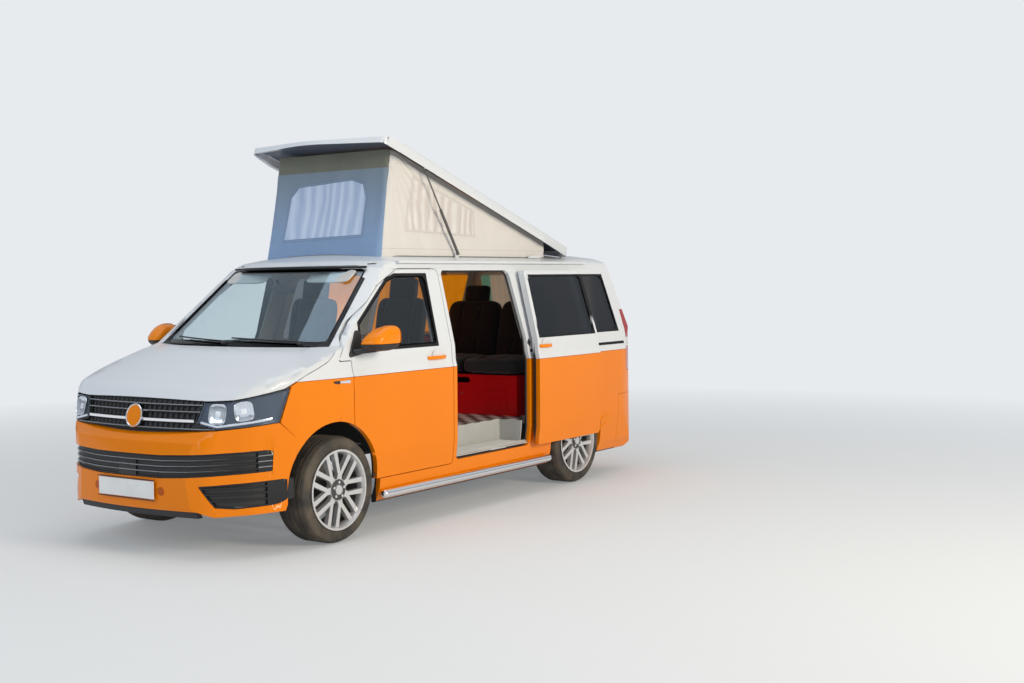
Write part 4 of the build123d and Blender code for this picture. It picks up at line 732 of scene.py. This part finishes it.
def skin(theta, z, sink=0.0):
    """A place on the nose, set back from it by sink, square to its slope both ways."""
    def place(t, h):
        return about_axis(reach(t, h), t, h)

    step = 0.002
    across = place(theta + step, z) - place(theta - step, z)
    rising = place(theta, z + step) - place(theta, z - step)
    return place(theta, z) - unit(np.cross(across, rising)) * np.asarray(sink)[..., None]


def at_width(y, z):
    """The angle about the nose's axis at which its face lies that far to the side."""
    return np.arcsin(np.asarray(y) / reach(np.arcsin(np.asarray(y) / 2.9), z))


def nose_angle(wanted, z, along):
    """The angle at which the nose's face reaches a distance forward of its axis, or out to the side: the range
    is halved until it is found."""
    low, high = np.full(np.shape(z), 0.02), np.full(np.shape(z), 0.60)
    for _ in range(30):
        middle = (low + high) / 2
        far = reach(middle, z)
        over = far * np.cos(middle) > wanted if along == "x" else far * np.sin(middle) < wanted
        low, high = np.where(over, middle, low), np.where(over, high, middle)
    return low


def lamp_place(s, t, sink):
    """A place in the headlamp's outline: s from the grille to the wing, t from the bumper to the bonnet. Its
    height and angle depend on each other, so they are worked out in turn a few times."""
    s, t = np.broadcast_arrays(np.asarray(s, float), np.asarray(t, float))
    z = 0.85 + 0.15 * t
    for _ in range(8):
        inner = nose_angle(0.512 + (z - 0.846) * 0.28, z, "y")
        outer = nose_angle(np.interp(z, [0.84, 1.056], [2.004, 1.921]) - BELL_X, z, "x")
        theta = inner + (outer - inner) * s
        x, y = np.moveaxis(about_axis(reach(theta, z), theta, z), -1, 0)[:2]
        low = np.maximum(np.interp(x, [1.999, 2.33, 2.425], [0.843, 0.814, 0.776]),
                         np.interp(y, [0.506, 0.69], [0.850, 0.808]))
        high = np.interp(x, [1.915, 1.975, 2.307, 2.362], [1.050, 1.039, 0.977, 0.991])
        z = low + (high - low) * t
    return skin(theta, z, sink)


def lamp_cup(s, t, half, depths):
    """A square-shouldered cup in the headlamp: rows of radius share and depth, round a place in it."""
    s, t = np.array(s), np.array(t)
    centre = lamp_place(s, t, 0.0)
    across = unit(lamp_place(s + 0.02, t, 0.0) - lamp_place(s - 0.02, t, 0.0))
    out = (centre - lamp_place(s, t, 0.01)) / 0.01
    up = np.cross(out, across)
    angle = np.linspace(0, TURN, 40, endpoint=False)
    far = half / (np.abs(np.cos(angle)) ** 4 + np.abs(np.sin(angle)) ** 4) ** 0.25
    spoke = (far * np.cos(angle))[:, None] * across + (far * np.sin(angle))[:, None] * up
    rows = np.array(depths)
    return net(centre + rows[:, None, :1] * spoke[None] - rows[:, None, 1:] * out, around=True)


def headlamps():
    """Clear lens over a black bowl with two bright square cups, a bulb in each, and a bright wedge below."""
    s, t = np.meshgrid(np.linspace(0, 1, 48), np.linspace(0, 1, 28))
    edge = np.minimum(np.minimum(s, 1 - s) * 3.0, np.minimum(t, 1 - t) * 1.6)
    lens = net(lamp_place(s, t, 0.0008 + 0 * s))
    bowl = net(lamp_place(s, t, 0.003 + 0.009 * np.clip(edge * 8, 0, 1) ** 0.5))
    cup = [(1.0, 0.005), (0.97, 0.0035), (0.93, 0.005), (0.8, 0.008), (0.55, 0.0108), (0.2, 0.0114),
           (0.0, 0.0114)]
    bulb = [(0.30, 0.0112), (0.28, 0.0085), (0.18, 0.0065), (0.0, 0.0058)]
    places = [(0.27, 0.58, 0.064), (0.60, 0.57, 0.060)]
    rows = [("lamp_lens", "lens_clear", [lens]), ("lamp_bezel", "bezel", [bowl]),
            ("lamp_reflectors", "chrome", [lamp_cup(*place, cup) for place in places]),
            ("lamp_bulbs", "bright_bulb", [lamp_cup(*place, bulb) for place in places])]
    made = [piece(name, finish, parts, both=True, open_sheet=True) for name, finish, parts in rows]
    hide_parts("headlamps")
    run = np.linspace(0.06, 0.92, 40)
    wedge = lamp_place(run, 0.10 + 0.05 * run, 0.008 + 0 * run)
    piece("lamp_wedge", "chrome", [sweep(wedge, bar(0.010, 0.016, 0.003))], both=True)


def grille_trim():
    """The bright strip on the grille's thick bar, the badge's ring and plain face, and rows of fine ribs."""
    strip_z, slat_half, lean = 0.862, 0.497, 13
    y = np.linspace(-slat_half, slat_half, 60)
    strip = skin(at_width(y, strip_z), np.full_like(y, strip_z), -0.003 + 0 * y)
    piece("grille_strip", "chrome", [sweep(strip, bar(0.006, 0.019, 0.0025))])
    tilt = (1, 0, math.tan(math.radians(lean)))
    centre = np.array([2.385, 0, 0.879]) + 0.017 * unit(np.array(tilt))
    rim = [(0.0765, -0.008), (0.0765, 0.001), (0.074, 0.0045), (0.069, 0.0045), (0.066, 0.001),
           (0.066, -0.008)]
    face = [(0.066, 0.0005), (0.04, 0.0035), (0.0, 0.0045)]
    piece("badge_ring", "chrome", [turned(rim + rim[:1], centre, tilt)])
    piece("badge_face", "orange_paint", [turned(face, centre, tilt)], open_sheet=True)
    ribs = []
    for low, high in ((0.821, 0.848), (0.876, 0.909), (0.923, 0.951), (0.965, 0.992)):
        wide = 0.50 + 0.28 * (low - 0.846)
        for place in np.arange(-wide, wide + 0.001, 0.045):
            level = np.array([low, high])
            line = skin(at_width(np.full(2, place), level), level, np.full(2, 0.012))
            ribs.append(sweep(line, bar(0.003, 0.012, 0.0), up=(0, 1, 0)))
    piece("grille_ribs", "black_plastic", ribs)


def bumper_trim():
    """Round caps either side of the plate, and the dark lines above and below it."""
    caps = []
    cap = [(0.027, -0.002), (0.027, 0.0025), (0.023, 0.003), (0.021, 0.0008), (0.0, 0.0004)]
    cap_y, cap_z, plate_z = 0.30, np.array(0.425), 0.430
    for y in (-cap_y, cap_y):
        theta = np.array(at_width(y, cap_z))
        centre = skin(theta, cap_z, 0.0)
        caps.append(turned(cap, centre, centre - skin(theta, cap_z, 0.01)))
    piece("tow_caps", "deep_orange", caps, open_sheet=True)
    lines = [np.linspace((2.4835, -0.268, plate_z + rise), (2.4835, 0.268, plate_z + rise), 30)
             for rise in (-0.063, 0.063)]
    piece("plate_frame", "black_plastic", [sweep(line, bar(0.004, 0.006, 0.001)) for line in lines])


def mirrors():
    """Domed orange caps, squared-off balls cut flat below and at the glass, on a black base that wraps below,
    an arm and a foot on the door's corner."""
    u, v = np.meshgrid(np.linspace(0, TURN, 64, endpoint=False), np.linspace(-np.pi / 2, np.pi / 2, 41))
    waist = power(np.cos(v), 0.55)
    ball = np.stack([waist * power(np.cos(u), 0.6), waist * power(np.sin(u), 0.55), power(np.sin(v), 0.7)], -1)
    middle = np.array((1.09, 1.066, 1.333))
    x, y, z = (ball * (0.132, 0.084, 0.084) + (1.217, 1.064, 1.333)).transpose(2, 0, 1)
    x = x - 0.22 * (y - middle[1])
    z = z + 0.10 * (y - middle[1])
    height = np.clip((z - 1.30) / 0.116, 0, 1)
    x = np.maximum(middle[0] + (x - middle[0]) * (1 - 0.42 * height ** 1.5), middle[0])
    y = y + 0.035 * height * (y < middle[1])
    cap = net(np.stack([x, y, np.maximum(z, 1.300)], -1), around=True)
    base = net(np.stack([x, y, np.minimum(z, 1.297)], -1), around=True)
    pane = np.stack([np.clip(x, 1.0885, 1.0895), y, z], -1)
    glass = net(middle + (pane - middle) * (1, 0.86, 0.84), around=True)
    arm = [[1.30, 0.925, 1.250], [1.29, 0.96, 1.252], [1.275, 1.0, 1.256], [1.25, 1.05, 1.262]]
    arm = sweep(spaced(arm, 12), bar(0.11, 0.034, 0.012))
    corner = rounded([(1.245, 1.232, 0.02), (1.40, 1.208, 0.015), (1.27, 1.388, 0.03), (1.225, 1.388, 0.01)])
    foot = slab(corner, (-0.004, 0.008, 0.011), (1.0, 1.0, 0.93))
    for side, mark in SIDES:
        door = f"door_{side}"
        cover = piece(f"mirror_cap_{side}", "orange_paint", on_side(mark, cap), door)
        piece(f"mirror_base_{side}", "black_plastic", on_side(mark, base, arm, foot), door)
        piece(f"mirror_glass_{side}", "mirror_glass", on_side(mark, glass), door)
        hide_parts(f"mirror_{side}")


def door_pull(name, body, x_rear, x_front, z, out=0.002, mark=1):
    """A bow handle: a bar that stands off the panel in the middle and meets it at both ends, over a dish."""
    share = np.linspace(0, 1, 30)
    x = x_rear + (x_front - x_rear) * share
    y = side_y(z) + out + 0.030 * np.sin(np.pi * share) ** 0.5
    grip = sweep(np.stack([x, y, z + 0 * x], 1), bar(0.011, 0.026, 0.005))
    piece(name, "orange_paint", on_side(mark, grip), body)
    centre = ((x_rear + x_front) / 2, side_y(z) + out + 0.0005, z + 0.004)
    dish = turned([(0.052, 0.001), (0.048, 0.002), (0.0, 0.0005)], centre)
    piece(name + "_dish", "dish_white", on_side(mark, dish), body, open_sheet=True)


def tyre(name, x, mark, body):
    """A road tyre turned from its section: four grooves run round the tread and slanting cuts cross its
    shoulders, where a power of the sine of turn and offset is high."""
    half = [(0.254, 0.113, 0.006), (0.292, 0.125, 0.018), (0.338, 0.119, 0.022), (0.352, 0.085, 0.030)]
    inner = [(0.248, 0.095, 0.004), (0.248, -0.095, 0.004)]
    outline = rounded([(radius, -offset, bend) for radius, offset, bend in half] + half[::-1] + inner)
    outline = spaced(outline, 230, closed=True)
    angle = np.linspace(0, TURN, 320, endpoint=False)
    radius, turn = np.meshgrid(outline[:, 0], angle)
    offset = np.broadcast_to(outline[:, 1], turn.shape)
    tread = np.clip((radius - 0.338) / 0.010, 0, 1)
    groove = np.clip(1.6 - np.abs(np.abs(offset)[..., None] - np.array([0.022, 0.062])) / 0.0035, 0, 1).max(-1)
    slant = np.sin(80 * turn + 130 * np.abs(offset)) ** 8 * (np.abs(offset) > 0.066)
    notch = np.sin(80 * turn - 200 * offset) ** 16 * (np.abs(offset) < 0.055) * 0.6
    radius = radius - tread * (0.0075 * groove + 0.0065 * np.maximum(slant, notch) * (1 - groove))
    bead = np.exp(-((radius - 0.272) / 0.004) ** 2) + 0.6 * np.exp(-((radius - 0.322) / 0.003) ** 2)
    offset = offset + np.sign(offset) * 0.0022 * bead * (radius < 0.338) * (np.abs(offset) > 0.1)
    x, z = x + radius * np.sin(turn), WHEEL_Z + radius * np.cos(turn)
    tread = net(np.stack([x, mark * (WHEEL_Y + offset), z], -1), around=True, along=True)
    obj = piece(name, "tyre_rubber", [tread], body, angle=50)
    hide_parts(name.replace("road_", ""))


def wheel(end, side, x, mark):
    """A tyre, the hub's dark recess with five nuts and a cap, and the brake caliper."""
    body = f"wheel_{end}_{side}"
    tyre(f"road_tyre_{end}_{side}", x, mark, body)
    centre, axis = np.array((x, mark * (WHEEL_Y + 0.113), WHEEL_Z)), (0, mark, 0)
    well = turned([(0.070, 0.0004), (0.0685, 0.0025), (0.066, 0.0004), (0.033, 0.0004)], centre, axis)
    piece(f"hub_well_{end}_{side}", "dark_alloy", [well], body, open_sheet=True)
    nut = [(0.0105, 0.0), (0.0105, 0.010), (0.0085, 0.012), (0.0, 0.012)]
    nuts = []
    for turn in (math.radians(72 * k + 20) for k in range(5)):
        nuts.append(turned(nut, centre + (0.050 * math.cos(turn), 0, 0.050 * math.sin(turn)), axis, 6))
    piece(f"wheel_nuts_{end}_{side}", "chrome", nuts, body, angle=20)
    crown = turned([(0.0325, 0.0085), (0.030, 0.0115), (0.0, 0.013)], centre, axis)
    piece(f"hub_cap_{end}_{side}", "alloy", [crown], body, open_sheet=True)
    angle = np.radians(np.linspace(150, 212, 14))
    arc = np.stack([x + 0.142 * np.cos(angle), np.full(14, mark * 0.752), WHEEL_Z + 0.142 * np.sin(angle)], 1)
    held = f"knuckle_{side}" if end == "front" else "body"
    piece(f"caliper_{end}_{side}", "steel", [sweep(arc, bar(0.085, 0.058, 0.010), up=(0, 1, 0.001))], held)


def roof_cloth():
    """The raised roof's canvas, one sheet round the opening. At a share of its height each point lies between
    the base line on the roof and the top line under the lid; the wall draws in by a sine of the share, and
    fine folds fan out from the top front corners, a sine of the angle that fades with the distance."""
    back_x, front_x, half = -1.552, 0.622, 0.592
    corners = [(back_x, half, 0.03), (front_x, half, 0.07), (front_x, -half, 0.07), (back_x, -half, 0.03)]
    base = spaced(rounded(corners, 9), 560, closed=True)
    x, y = np.concatenate([base, base[:1]]).T
    ahead = np.clip((x - back_x) / 2.174, 0, 1)
    nose = np.clip((x - 0.50) / 0.12, 0, 1)
    low = 1.897 + 0.036 * nose * (1 - (y / 0.60) ** 2) - 0.020 * np.clip((x - 0.45) / 0.17, 0, 1)
    top_x = x - 0.150 * ahead ** 2
    top_y = y * (1 - 0.030 * ahead)
    high = LID_FOOT_Z + (top_x - LID_HINGE_X) * LID_SLOPE
    share = np.linspace(0, 1, 90)[:, None]
    flat_x, flat_y, v = x + (top_x - x) * share, y + (top_y - y) * share, low + (high - low) * share
    bow = np.sin(np.pi * share)
    sag = 0.020 * bow * np.clip(ahead * 1.4, 0, 1) * (0.75 + 0.25 * np.sin(9 * x))
    right, down = 0.47 - flat_x, 2.68 - v
    far = np.hypot(right, down)
    fan = np.arctan2(down, right + 0.02)
    folds = 0.0075 * np.sin(34 * fan) * np.exp(-far / 0.55) * np.clip(far / 0.06, 0, 1) * bow ** 0.3
    puckers = np.exp(-((x + 0.05) / 0.42) ** 2) * np.clip((v - 2.02) / 0.10, 0, 1)
    ripple = 0.0034 * np.sin(26 * x + 6 * share) * bow
    ripple = ripple + 0.0045 * puckers * np.sin(62 * x + 3 * np.sin(9 * v)) * bow
    side_wall = np.clip(np.abs(y) / half, 0, 1) ** 12
    cloth_y = flat_y + (folds + ripple - sag) * side_wall * np.sign(y)
    cloth_x = flat_x + (0.004 * np.sin(21 * y) * bow - 0.6 * sag) * nose * (1 - side_wall)
    front_wall = (x > 0.60) & (np.abs(y) < 0.575)
    rear_wall = (x < -1.54) & (np.abs(y) < 0.58)
    kind = np.where(front_wall[:-1] & front_wall[1:], 1, np.where(rear_wall[:-1] & rear_wall[1:], 2, 0))
    across = np.stack([flat_x, 10 + flat_y, 20 + flat_y])
    column = np.arange(len(kind))
    near, far_side = across[kind, :, column].T, across[kind, :, column + 1].T
    corners = [(near[:-1], v[:-1, :-1]), (far_side[:-1], v[:-1, 1:]), (far_side[1:], v[1:, 1:]),
               (near[1:], v[1:, :-1])]
    cloth = net(np.stack([cloth_x, cloth_y, v], -1))
    flat = np.stack([np.stack(corner, -1) for corner in corners], 2).reshape(-1, 4, 2)
    obj = piece("roof_cloth", "canvas_cloth", [cloth], open_sheet=True, angle=60, flat=flat)
    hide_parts("roof_canvas")
    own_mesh(obj)
    run = np.hypot(np.diff(x), np.diff(y))
    tall = (high - low)[:-1]
    float((run * tall).sum())
    path = np.stack([x, y, low - 0.002], 1)[:-1:3]
    piece("cloth_rail", "grey_plastic", [sweep(path, bar(0.016, 0.014, 0.004), closed=True)])


def pad(name, form, move, lean=0.0):
    """One padded piece of seat cloth, leaned by some degrees and moved to its place."""
    obj = piece(name, "seat_cloth", [placed(form, move, lean)], angle=60)
    return obj


def seat(name, y):
    """A cab seat: padded cushion, leaning back and headrest on two bright posts, over a dark plinth."""
    foot = FLOOR_Z + 0.001
    stand = [brick((0.34, y - 0.18, foot), (0.75, y + 0.18, 0.885))]
    stand += [brick((0.30, y + k - 0.02, foot), (0.80, y + k + 0.02, FLOOR_Z + 0.03)) for k in (-0.15, 0.15)]
    base = piece(f"{name}_plinth", "black_plastic", stand, bevel=0.008)
    low = pillow((0.262, 0.238, 0.058), 0.014, 0.03, seams=(-0.14, 0.14))
    tall = pillow((0.305, 0.228, 0.060), 0.014, 0.05, seams=(-0.13, 0.13))
    head = pillow((0.088, 0.126, 0.045), 0.006, 0.04, edge=0.6)
    pad(f"{name}_cushion", low, (0.560, y, 0.958))
    pad(f"{name}_back", tall, (0.262, y, 1.300), -102)
    pad(f"{name}_headrest", head, (0.195, y, 1.655), -100)
    posts = [rod([(0.205, y + k, 1.56), (0.200, y + k, 1.61)], 0.006) for k in (-0.05, 0.05)]
    piece(f"{name}_posts", "chrome", posts)
    return base


def bench():
    """The rear bench: two padded places with sewn lines, a leaning back in two parts and two headrests."""
    low = pillow((0.292, 0.280, 0.068), 0.012, 0.02, seams=(-0.10, 0.10))
    tall = pillow((0.275, 0.280, 0.058), 0.012, 0.02, seams=(-0.10, 0.10))
    head = pillow((0.080, 0.128, 0.042), 0.006, 0.04, edge=0.6)
    for number, y in ((1, -0.135), (2, 0.435)):
        cushion = pad(f"bench_cushion_{number}", low, (-1.165, y, 1.003))
        pad(f"bench_back_{number}", tall, (-1.488, y, 1.268), -104)
        pad(f"bench_headrest_{number}", head, (-1.570, y, 1.590), -100)
        if number == 1:
            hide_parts("bench_seat")


def cabin():
    """What shows inside: seats, bench, the knob and panel lines of the cupboards, mirror, sun visors, step."""
    base = seat("seat_left", 0.445)
    seat("seat_right", -0.445)
    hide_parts("cab_seats")
    bench()
    knob = [(0.0, 0.014), (0.008, 0.013), (0.010, 0.008), (0.006, 0.0)]
    piece("drawer_knob", "chrome", [turned(knob, (-0.899, 0.17, 0.775), (1, 0, 0), 24)])
    spans = ((-2.22, -1.62), (-1.60, -1.02), (-1.00, -0.60), (-0.58, -0.18))
    doors = [brick((low_x, -0.4799, 0.66), (high_x, -0.470, 1.19)) for low_x, high_x in spans]
    piece("cupboard_doors", "red_paint", doors, bevel=0.004)
    piece("worktop", "grey_plastic", [brick((-2.30, -0.86, 1.2255), (-0.13, -0.462, 1.245))], bevel=0.006)
    glass = placed(pillow((0.012, 0.115, 0.030), square=0.5), (1.03, 0.0, 1.668), 12)
    stalk = rod([(1.035, 0, 1.675), (1.075, 0, 1.715), (1.088, 0, 1.728)], 0.008)
    piece("cab_mirror", "black_plastic", [glass, stalk])
    visors = [placed(pillow((0.075, 0.20, 0.010), edge=0.6), (0.955, y, 1.755), 35) for y in (-0.40, 0.40)]
    piece("sun_visors", "pale_plastic", visors, angle=60)
    ridges = 0.4325 + 0.0012 * np.sin(np.linspace(0, TURN * 24, 241))
    across = np.linspace(0.700, 0.898, 241)
    tread = np.stack([np.stack([np.full(241, x), across, ridges], 1) for x in (-0.685, 0.145)])
    piece("step_tread", "pale_plastic", [net(tread)], open_sheet=True)
    lips = ((0.900, 0.4345), (0.912, 0.428), (0.924, 0.420))
    lips = [rod([(-0.735, y, z), (0.212, y, z)], 0.0045, up=(0, 0, 1)) for y, z in lips]
    piece("sill_ridges", "pale_plastic", lips)


def engine_bay():
    """The dark tray, side walls and shelves below the bonnet, open at the top."""
    low, high, wall = 0.600, 0.930, 0.006
    front, back, half, shelf_x, shelf = 2.280, 1.500, 0.500, 2.060, 0.220
    plates = [brick((back, -half, low), (front, half, low + wall))]
    for y in (-half, half - wall):
        plates.append(brick((back, y, low), (front, y + wall, high)))
    plates.append(brick((back, -half, low), (back + wall, half, high)))
    for y in (-half - shelf, half):
        plates.append(brick((back, y, high - wall), (shelf_x, y + shelf, high)))
    piece("engine_tray", "black_plastic", plates, bevel=0.001)


def opening_seal():
    """The rubber seal round the side opening, carried along its outline just inside the wall, and the lock."""
    front, back, low, high = 0.219, -0.742, 0.398, 1.787
    rows = [(front, low, 0.03), (front, BELT, 0.06), (0.145, high, 0.04), (back, high, 0.06),
            (back, low, 0.03)]
    x, z = spaced(rounded(rows), 260, closed=True).T
    path = np.stack([x, side_y(z) - 0.034, z], 1)
    piece("opening_seal", "black_plastic", [sweep(path, ring(0.007, 10), up=(0, 1, 0.01), closed=True)])
    diamond = [(-0.801, 1.213), (-0.775, 1.181), (-0.749, 1.213), (-0.775, 1.245)]
    plates = [slab(diamond, (-0.004, 0.003)), slab(diamond, (0.002, 0.006), (0.45, 0.45))]
    piece("door_lock", "black_plastic", plates, bevel=0.002)


def wipers():
    """Two wiper arms and blades lying along the foot of the windscreen, a cone about the nose's axis."""
    def on_screen(y, z, off):
        far = np.interp(z, NOSE_Z[-2:], NOSE_X[-2:]) - BELL_X
        return about_axis(far + off, np.arcsin(y / far), z)

    parts = []
    share = np.linspace(0, 1, 24)
    pivot = [(0.016, -0.012), (0.016, 0.004), (0.011, 0.010), (0.0, 0.010)]
    for start, end in ((0.60, 0.02), (-0.02, -0.60)):
        y = np.linspace(start, end, 24)
        blade = on_screen(y, 1.318 + 0.022 * share, 0.010)
        arm = on_screen(y[:16], 1.310 + 0.022 * share[:16] * 0.8, 0.020)
        parts += [sweep(blade, bar(0.012, 0.010, 0.003)), sweep(arm, bar(0.016, 0.007, 0.003)),
                  turned(pivot, arm[0], (1, 0, 1.1), 24)]
    piece("wipers", "black_plastic", parts)


def screen_trim():
    """The black strip along the top of the windscreen, an arc about the nose's upright axis."""
    path = about_axis(NOSE_X[-1] - BELL_X - 0.004, np.linspace(-0.437, 0.437, 60), 1.8175)
    piece("screen_strip", "gloss_black", [sweep(path, bar(0.030, 0.017, 0.005))])


def tail_trim():
    """The tailgate's handle strip, high lamp and wiper, and the rear bumper's step pad and reflectors."""
    def on_tail(z, off):
        return np.interp(z, TAIL_Z, TAIL_X) - off

    def across(z, off, half, count):
        return np.linspace((on_tail(z, off), -half, z), (on_tail(z, off), half, z), count)

    strip = sweep(across(1.03, 0.008, 0.30, 20), bar(0.022, 0.020, 0.006))
    piece("tail_handle", "chrome", [strip], "tailgate")
    lamp = sweep(across(1.79, 0.004, 0.16, 12), bar(0.016, 0.020, 0.004))
    piece("high_lamp", "tail_red", [lamp], "tailgate")
    z = np.linspace(1.215, 1.255, 16)
    blade = sweep(np.stack([on_tail(z, 0.014), np.linspace(0.03, 0.50, 16), z], 1), bar(0.012, 0.012, 0.003))
    pivot = [(0.020, -0.02), (0.020, 0.008), (0.012, 0.014), (0.0, 0.014)]
    boss = turned(pivot, (on_tail(1.20, 0.006), 0, 1.20), (-1, 0, 0.1), 24)
    piece("tail_wiper", "black_plastic", [blade, boss], "tailgate")
    piece("step_pad", "black_plastic", [brick((-2.4660, -0.55, 0.660), (-2.30, 0.55, 0.6965))], bevel=0.006)
    marks = [brick((-2.4785, y - 0.06, 0.470), (-2.4600, y + 0.06, 0.500)) for y in (-0.70, 0.70)]
    piece("rear_reflectors", "tail_red", marks, bevel=0.004)


def roof_links():
    """White brackets on the roof at the canvas's rear ends."""
    rows = [(-1.425, 1.893, 0.003), (-1.235, 1.893, 0.003), (-1.265, 1.912, 0.006), (-1.420, 1.922, 0.006)]
    bracket = slab(rounded(rows), (0.618, 0.628), wall=lambda x, z: 0 * x)
    for side, mark in SIDES:
        piece(f"roof_bracket_{side}", "white_paint", on_side(mark, bracket), bevel=0.002)


def hang(name, finish, points, body):
    """One curtain from its grid of points, folds and all."""
    obj = piece(name, finish, [net(points)], body, open_sheet=True, angle=70)


def curtains():
    """Curtains hung inside the tail and right-hand windows, in even soft folds: a sine across the cloth that
    is deeper at the foot."""
    tall = np.linspace(0, 1, 30)[:, None]
    loose = 0.5 + 0.5 * (1 - tall)
    for name, y_low, y_high in (("right", -0.60, -0.01), ("left", 0.01, 0.60)):
        y = np.linspace(y_low, y_high, 160)
        z = 1.19 + 0.57 * tall + 0 * y
        fold = 0.011 * np.sin(y * 85 + 0.8 * np.sin(5 * y)) * loose
        x = np.interp(z, TAIL_Z, TAIL_X) + 0.078 + fold
        hang(f"tail_curtain_{name}", "curtain_beige", np.stack([x, y + 0 * z, z], -1), "tailgate")
    for name, x_low, x_high in (("rear", -2.19, -0.93), ("middle", -0.66, -0.25)):
        x = np.linspace(x_low, x_high, 260)
        z = 1.245 + 0.52 * tall + 0 * x
        fold = 0.010 * np.sin(x * 80 + 0.9 * np.sin(4 * x)) * loose
        y = -(side_y(z) - 0.072) + fold
        hang(f"side_curtain_{name}", "curtain_orange", np.stack([x + 0 * z, y, z], -1), "body")


def wing_badge():
    """A bright wedge with a black end on each front wing, behind the wheel arch."""
    for name, finish, x_low, x_high, z_low in (("wing_badge", "chrome", 1.405, 1.505, 1.052),
                                               ("wing_badge_end", "black_plastic", 1.508, 1.560, 1.056)):
        outline = [(x_low, 1.046), (x_high, z_low), (x_high, 1.066), (x_low, 1.068)]
        wedge = slab(outline, (-0.006, 0.0035), wall=lambda x, z: side_y(z) - 0.001 * (x - 1.36) / 0.2)
        piece(name, finish, [wedge], both=True, bevel=0.0015)


headlamps()
grille_trim()
bumper_trim()
mirrors()
for side, mark in SIDES:
    door_pull(f"handle_{side}", f"door_{side}", 0.345, 0.545, 1.163, mark=mark)
door_pull("handle_slide", "body", -0.958, -0.795, 1.185, out=SLIDE_OUT + 0.002)
for end, x in AXLES.items():
    for side, mark in SIDES:
        wheel(end, side, x, mark)
roof_cloth()
cabin()
opening_seal()
engine_bay()
wipers()
screen_trim()
tail_trim()
roof_links()
curtains()
wing_badge()


# Camera, floor and light
CAMERA_PLACE = (7.963, 6.702, 1.705)
CAMERA_YAW = math.radians(-145.81)
CAMERA_PITCH = math.radians(-2.64)
CAMERA_ROLL = math.radians(-0.81)
FOCAL_PIXELS = 1315.8
PHOTO_WIDTH = 1024
FRAME_MM = 36
FLOOR_HALF = 60.0
FLOOR_COLOR = (0.60, 0.60, 0.595)
BACKDROP_GLOW = (0.80, 0.83, 0.86)
BLACK = (0.0, 0.0, 0.0)


def make_camera():
    """The photograph's view: place, heading, slope and lean, and a lens for the frame's width."""
    level = math.cos(CAMERA_PITCH)
    ahead = Vector((math.cos(CAMERA_YAW) * level, math.sin(CAMERA_YAW) * level, math.sin(CAMERA_PITCH)))
    right = ahead.cross(Vector((0, 0, 1))).normalized()
    up = right.cross(ahead)
    lean_right = right * math.cos(CAMERA_ROLL) + up * math.sin(CAMERA_ROLL)
    lean_up = up * math.cos(CAMERA_ROLL) - right * math.sin(CAMERA_ROLL)
    data = bpy.data.cameras.new("camera")
    data.sensor_width = FRAME_MM
    data.lens = FOCAL_PIXELS / PHOTO_WIDTH * FRAME_MM
    data.clip_end = 300
    camera = bpy.data.objects.new("camera", data)
    scene.collection.objects.link(camera)
    basis = Matrix((lean_right, lean_up, -ahead)).transposed().to_4x4()
    basis.translation = Vector(CAMERA_PLACE)
    camera.matrix_world = basis
    scene.camera = camera


def make_floor():
    """A wide pale floor that keeps the van's shadow and fades into the backdrop with its own light."""
    corners = [(a * FLOOR_HALF, b * FLOOR_HALF, 0) for a, b in ((-1, -1), (1, -1), (1, 1), (-1, 1))]
    mesh = bpy.data.meshes.new("floor_stage")
    mesh.from_pydata(corners, [], [(0, 1, 2, 3)])
    floor = bpy.data.objects.new("floor_stage", mesh)
    scene.collection.objects.link(floor)
    f = Finish("pale_floor")
    x, y, z = f.place()
    away = (x * x + y * y).root().above(6.5, 9.0)
    glow = f.mix(away * 0.78 + 0.22, BLACK, BACKDROP_GLOW)
    f.set(Base_Color=f.mix(away, FLOOR_COLOR, BLACK), Roughness=0.9, Specular_IOR_Level=0.0)
    f.set(Emission_Color=glow, Emission_Strength=1.0)
    f.relief(f.noise(40, 2.0), 0.0005)
    mesh.materials.append(f.material)


def area_light(name, place, target, power, width, height, color):
    """A soft rectangular light aimed at a point."""
    data = bpy.data.lights.new(name, "AREA")
    data.energy = power
    data.shape = "RECTANGLE"
    data.size = width
    data.size_y = height
    data.color = color
    light = bpy.data.objects.new(name, data)
    scene.collection.objects.link(light)
    light.location = place
    light.rotation_euler = (Vector(target) - Vector(place)).to_track_quat("-Z", "Y").to_euler()


def make_light():
    """Soft studio light: a pale world, brighter overhead in reflections, a warm key from the front left and
    two fills."""
    world = bpy.data.worlds.new("studio")
    scene.world = world
    world.use_nodes = True
    tree = world.node_tree
    seen, mirrored = (add_node(tree, "LightPath", out=f"Is {ray} Ray") for ray in ("Camera", "Glossy"))
    sky = split(add_node(tree, "TexCoord", out="Generated"))[2].above(0.12, 0.5)
    back = tree.nodes["Background"]
    plain = (1 - seen - mirrored) * 0.40
    plug(tree, back.inputs["Strength"], seen * 0.86 + mirrored * (sky * 0.50 + 0.10) + plain)
    plug(tree, back.inputs["Color"], (0.93, 0.965, 1.0))
    area_light("key", (1.2, 10.6, 3.9), (0.1, 0.0, 1.1), 650, 3.0, 3.0, (1.0, 0.90, 0.72))
    area_light("front", (9.0, -1.5, 5.5), (0.8, 0.0, 1.0), 175, 5.0, 4.0, (0.78, 0.89, 1.0))
    area_light("top", (0.5, 0.0, 9.0), (0.0, 0.0, 0.0), 225, 7.0, 7.0, (0.86, 0.93, 1.0))


make_camera()
make_floor()
make_light()
scene.view_settings.view_transform = "Standard"
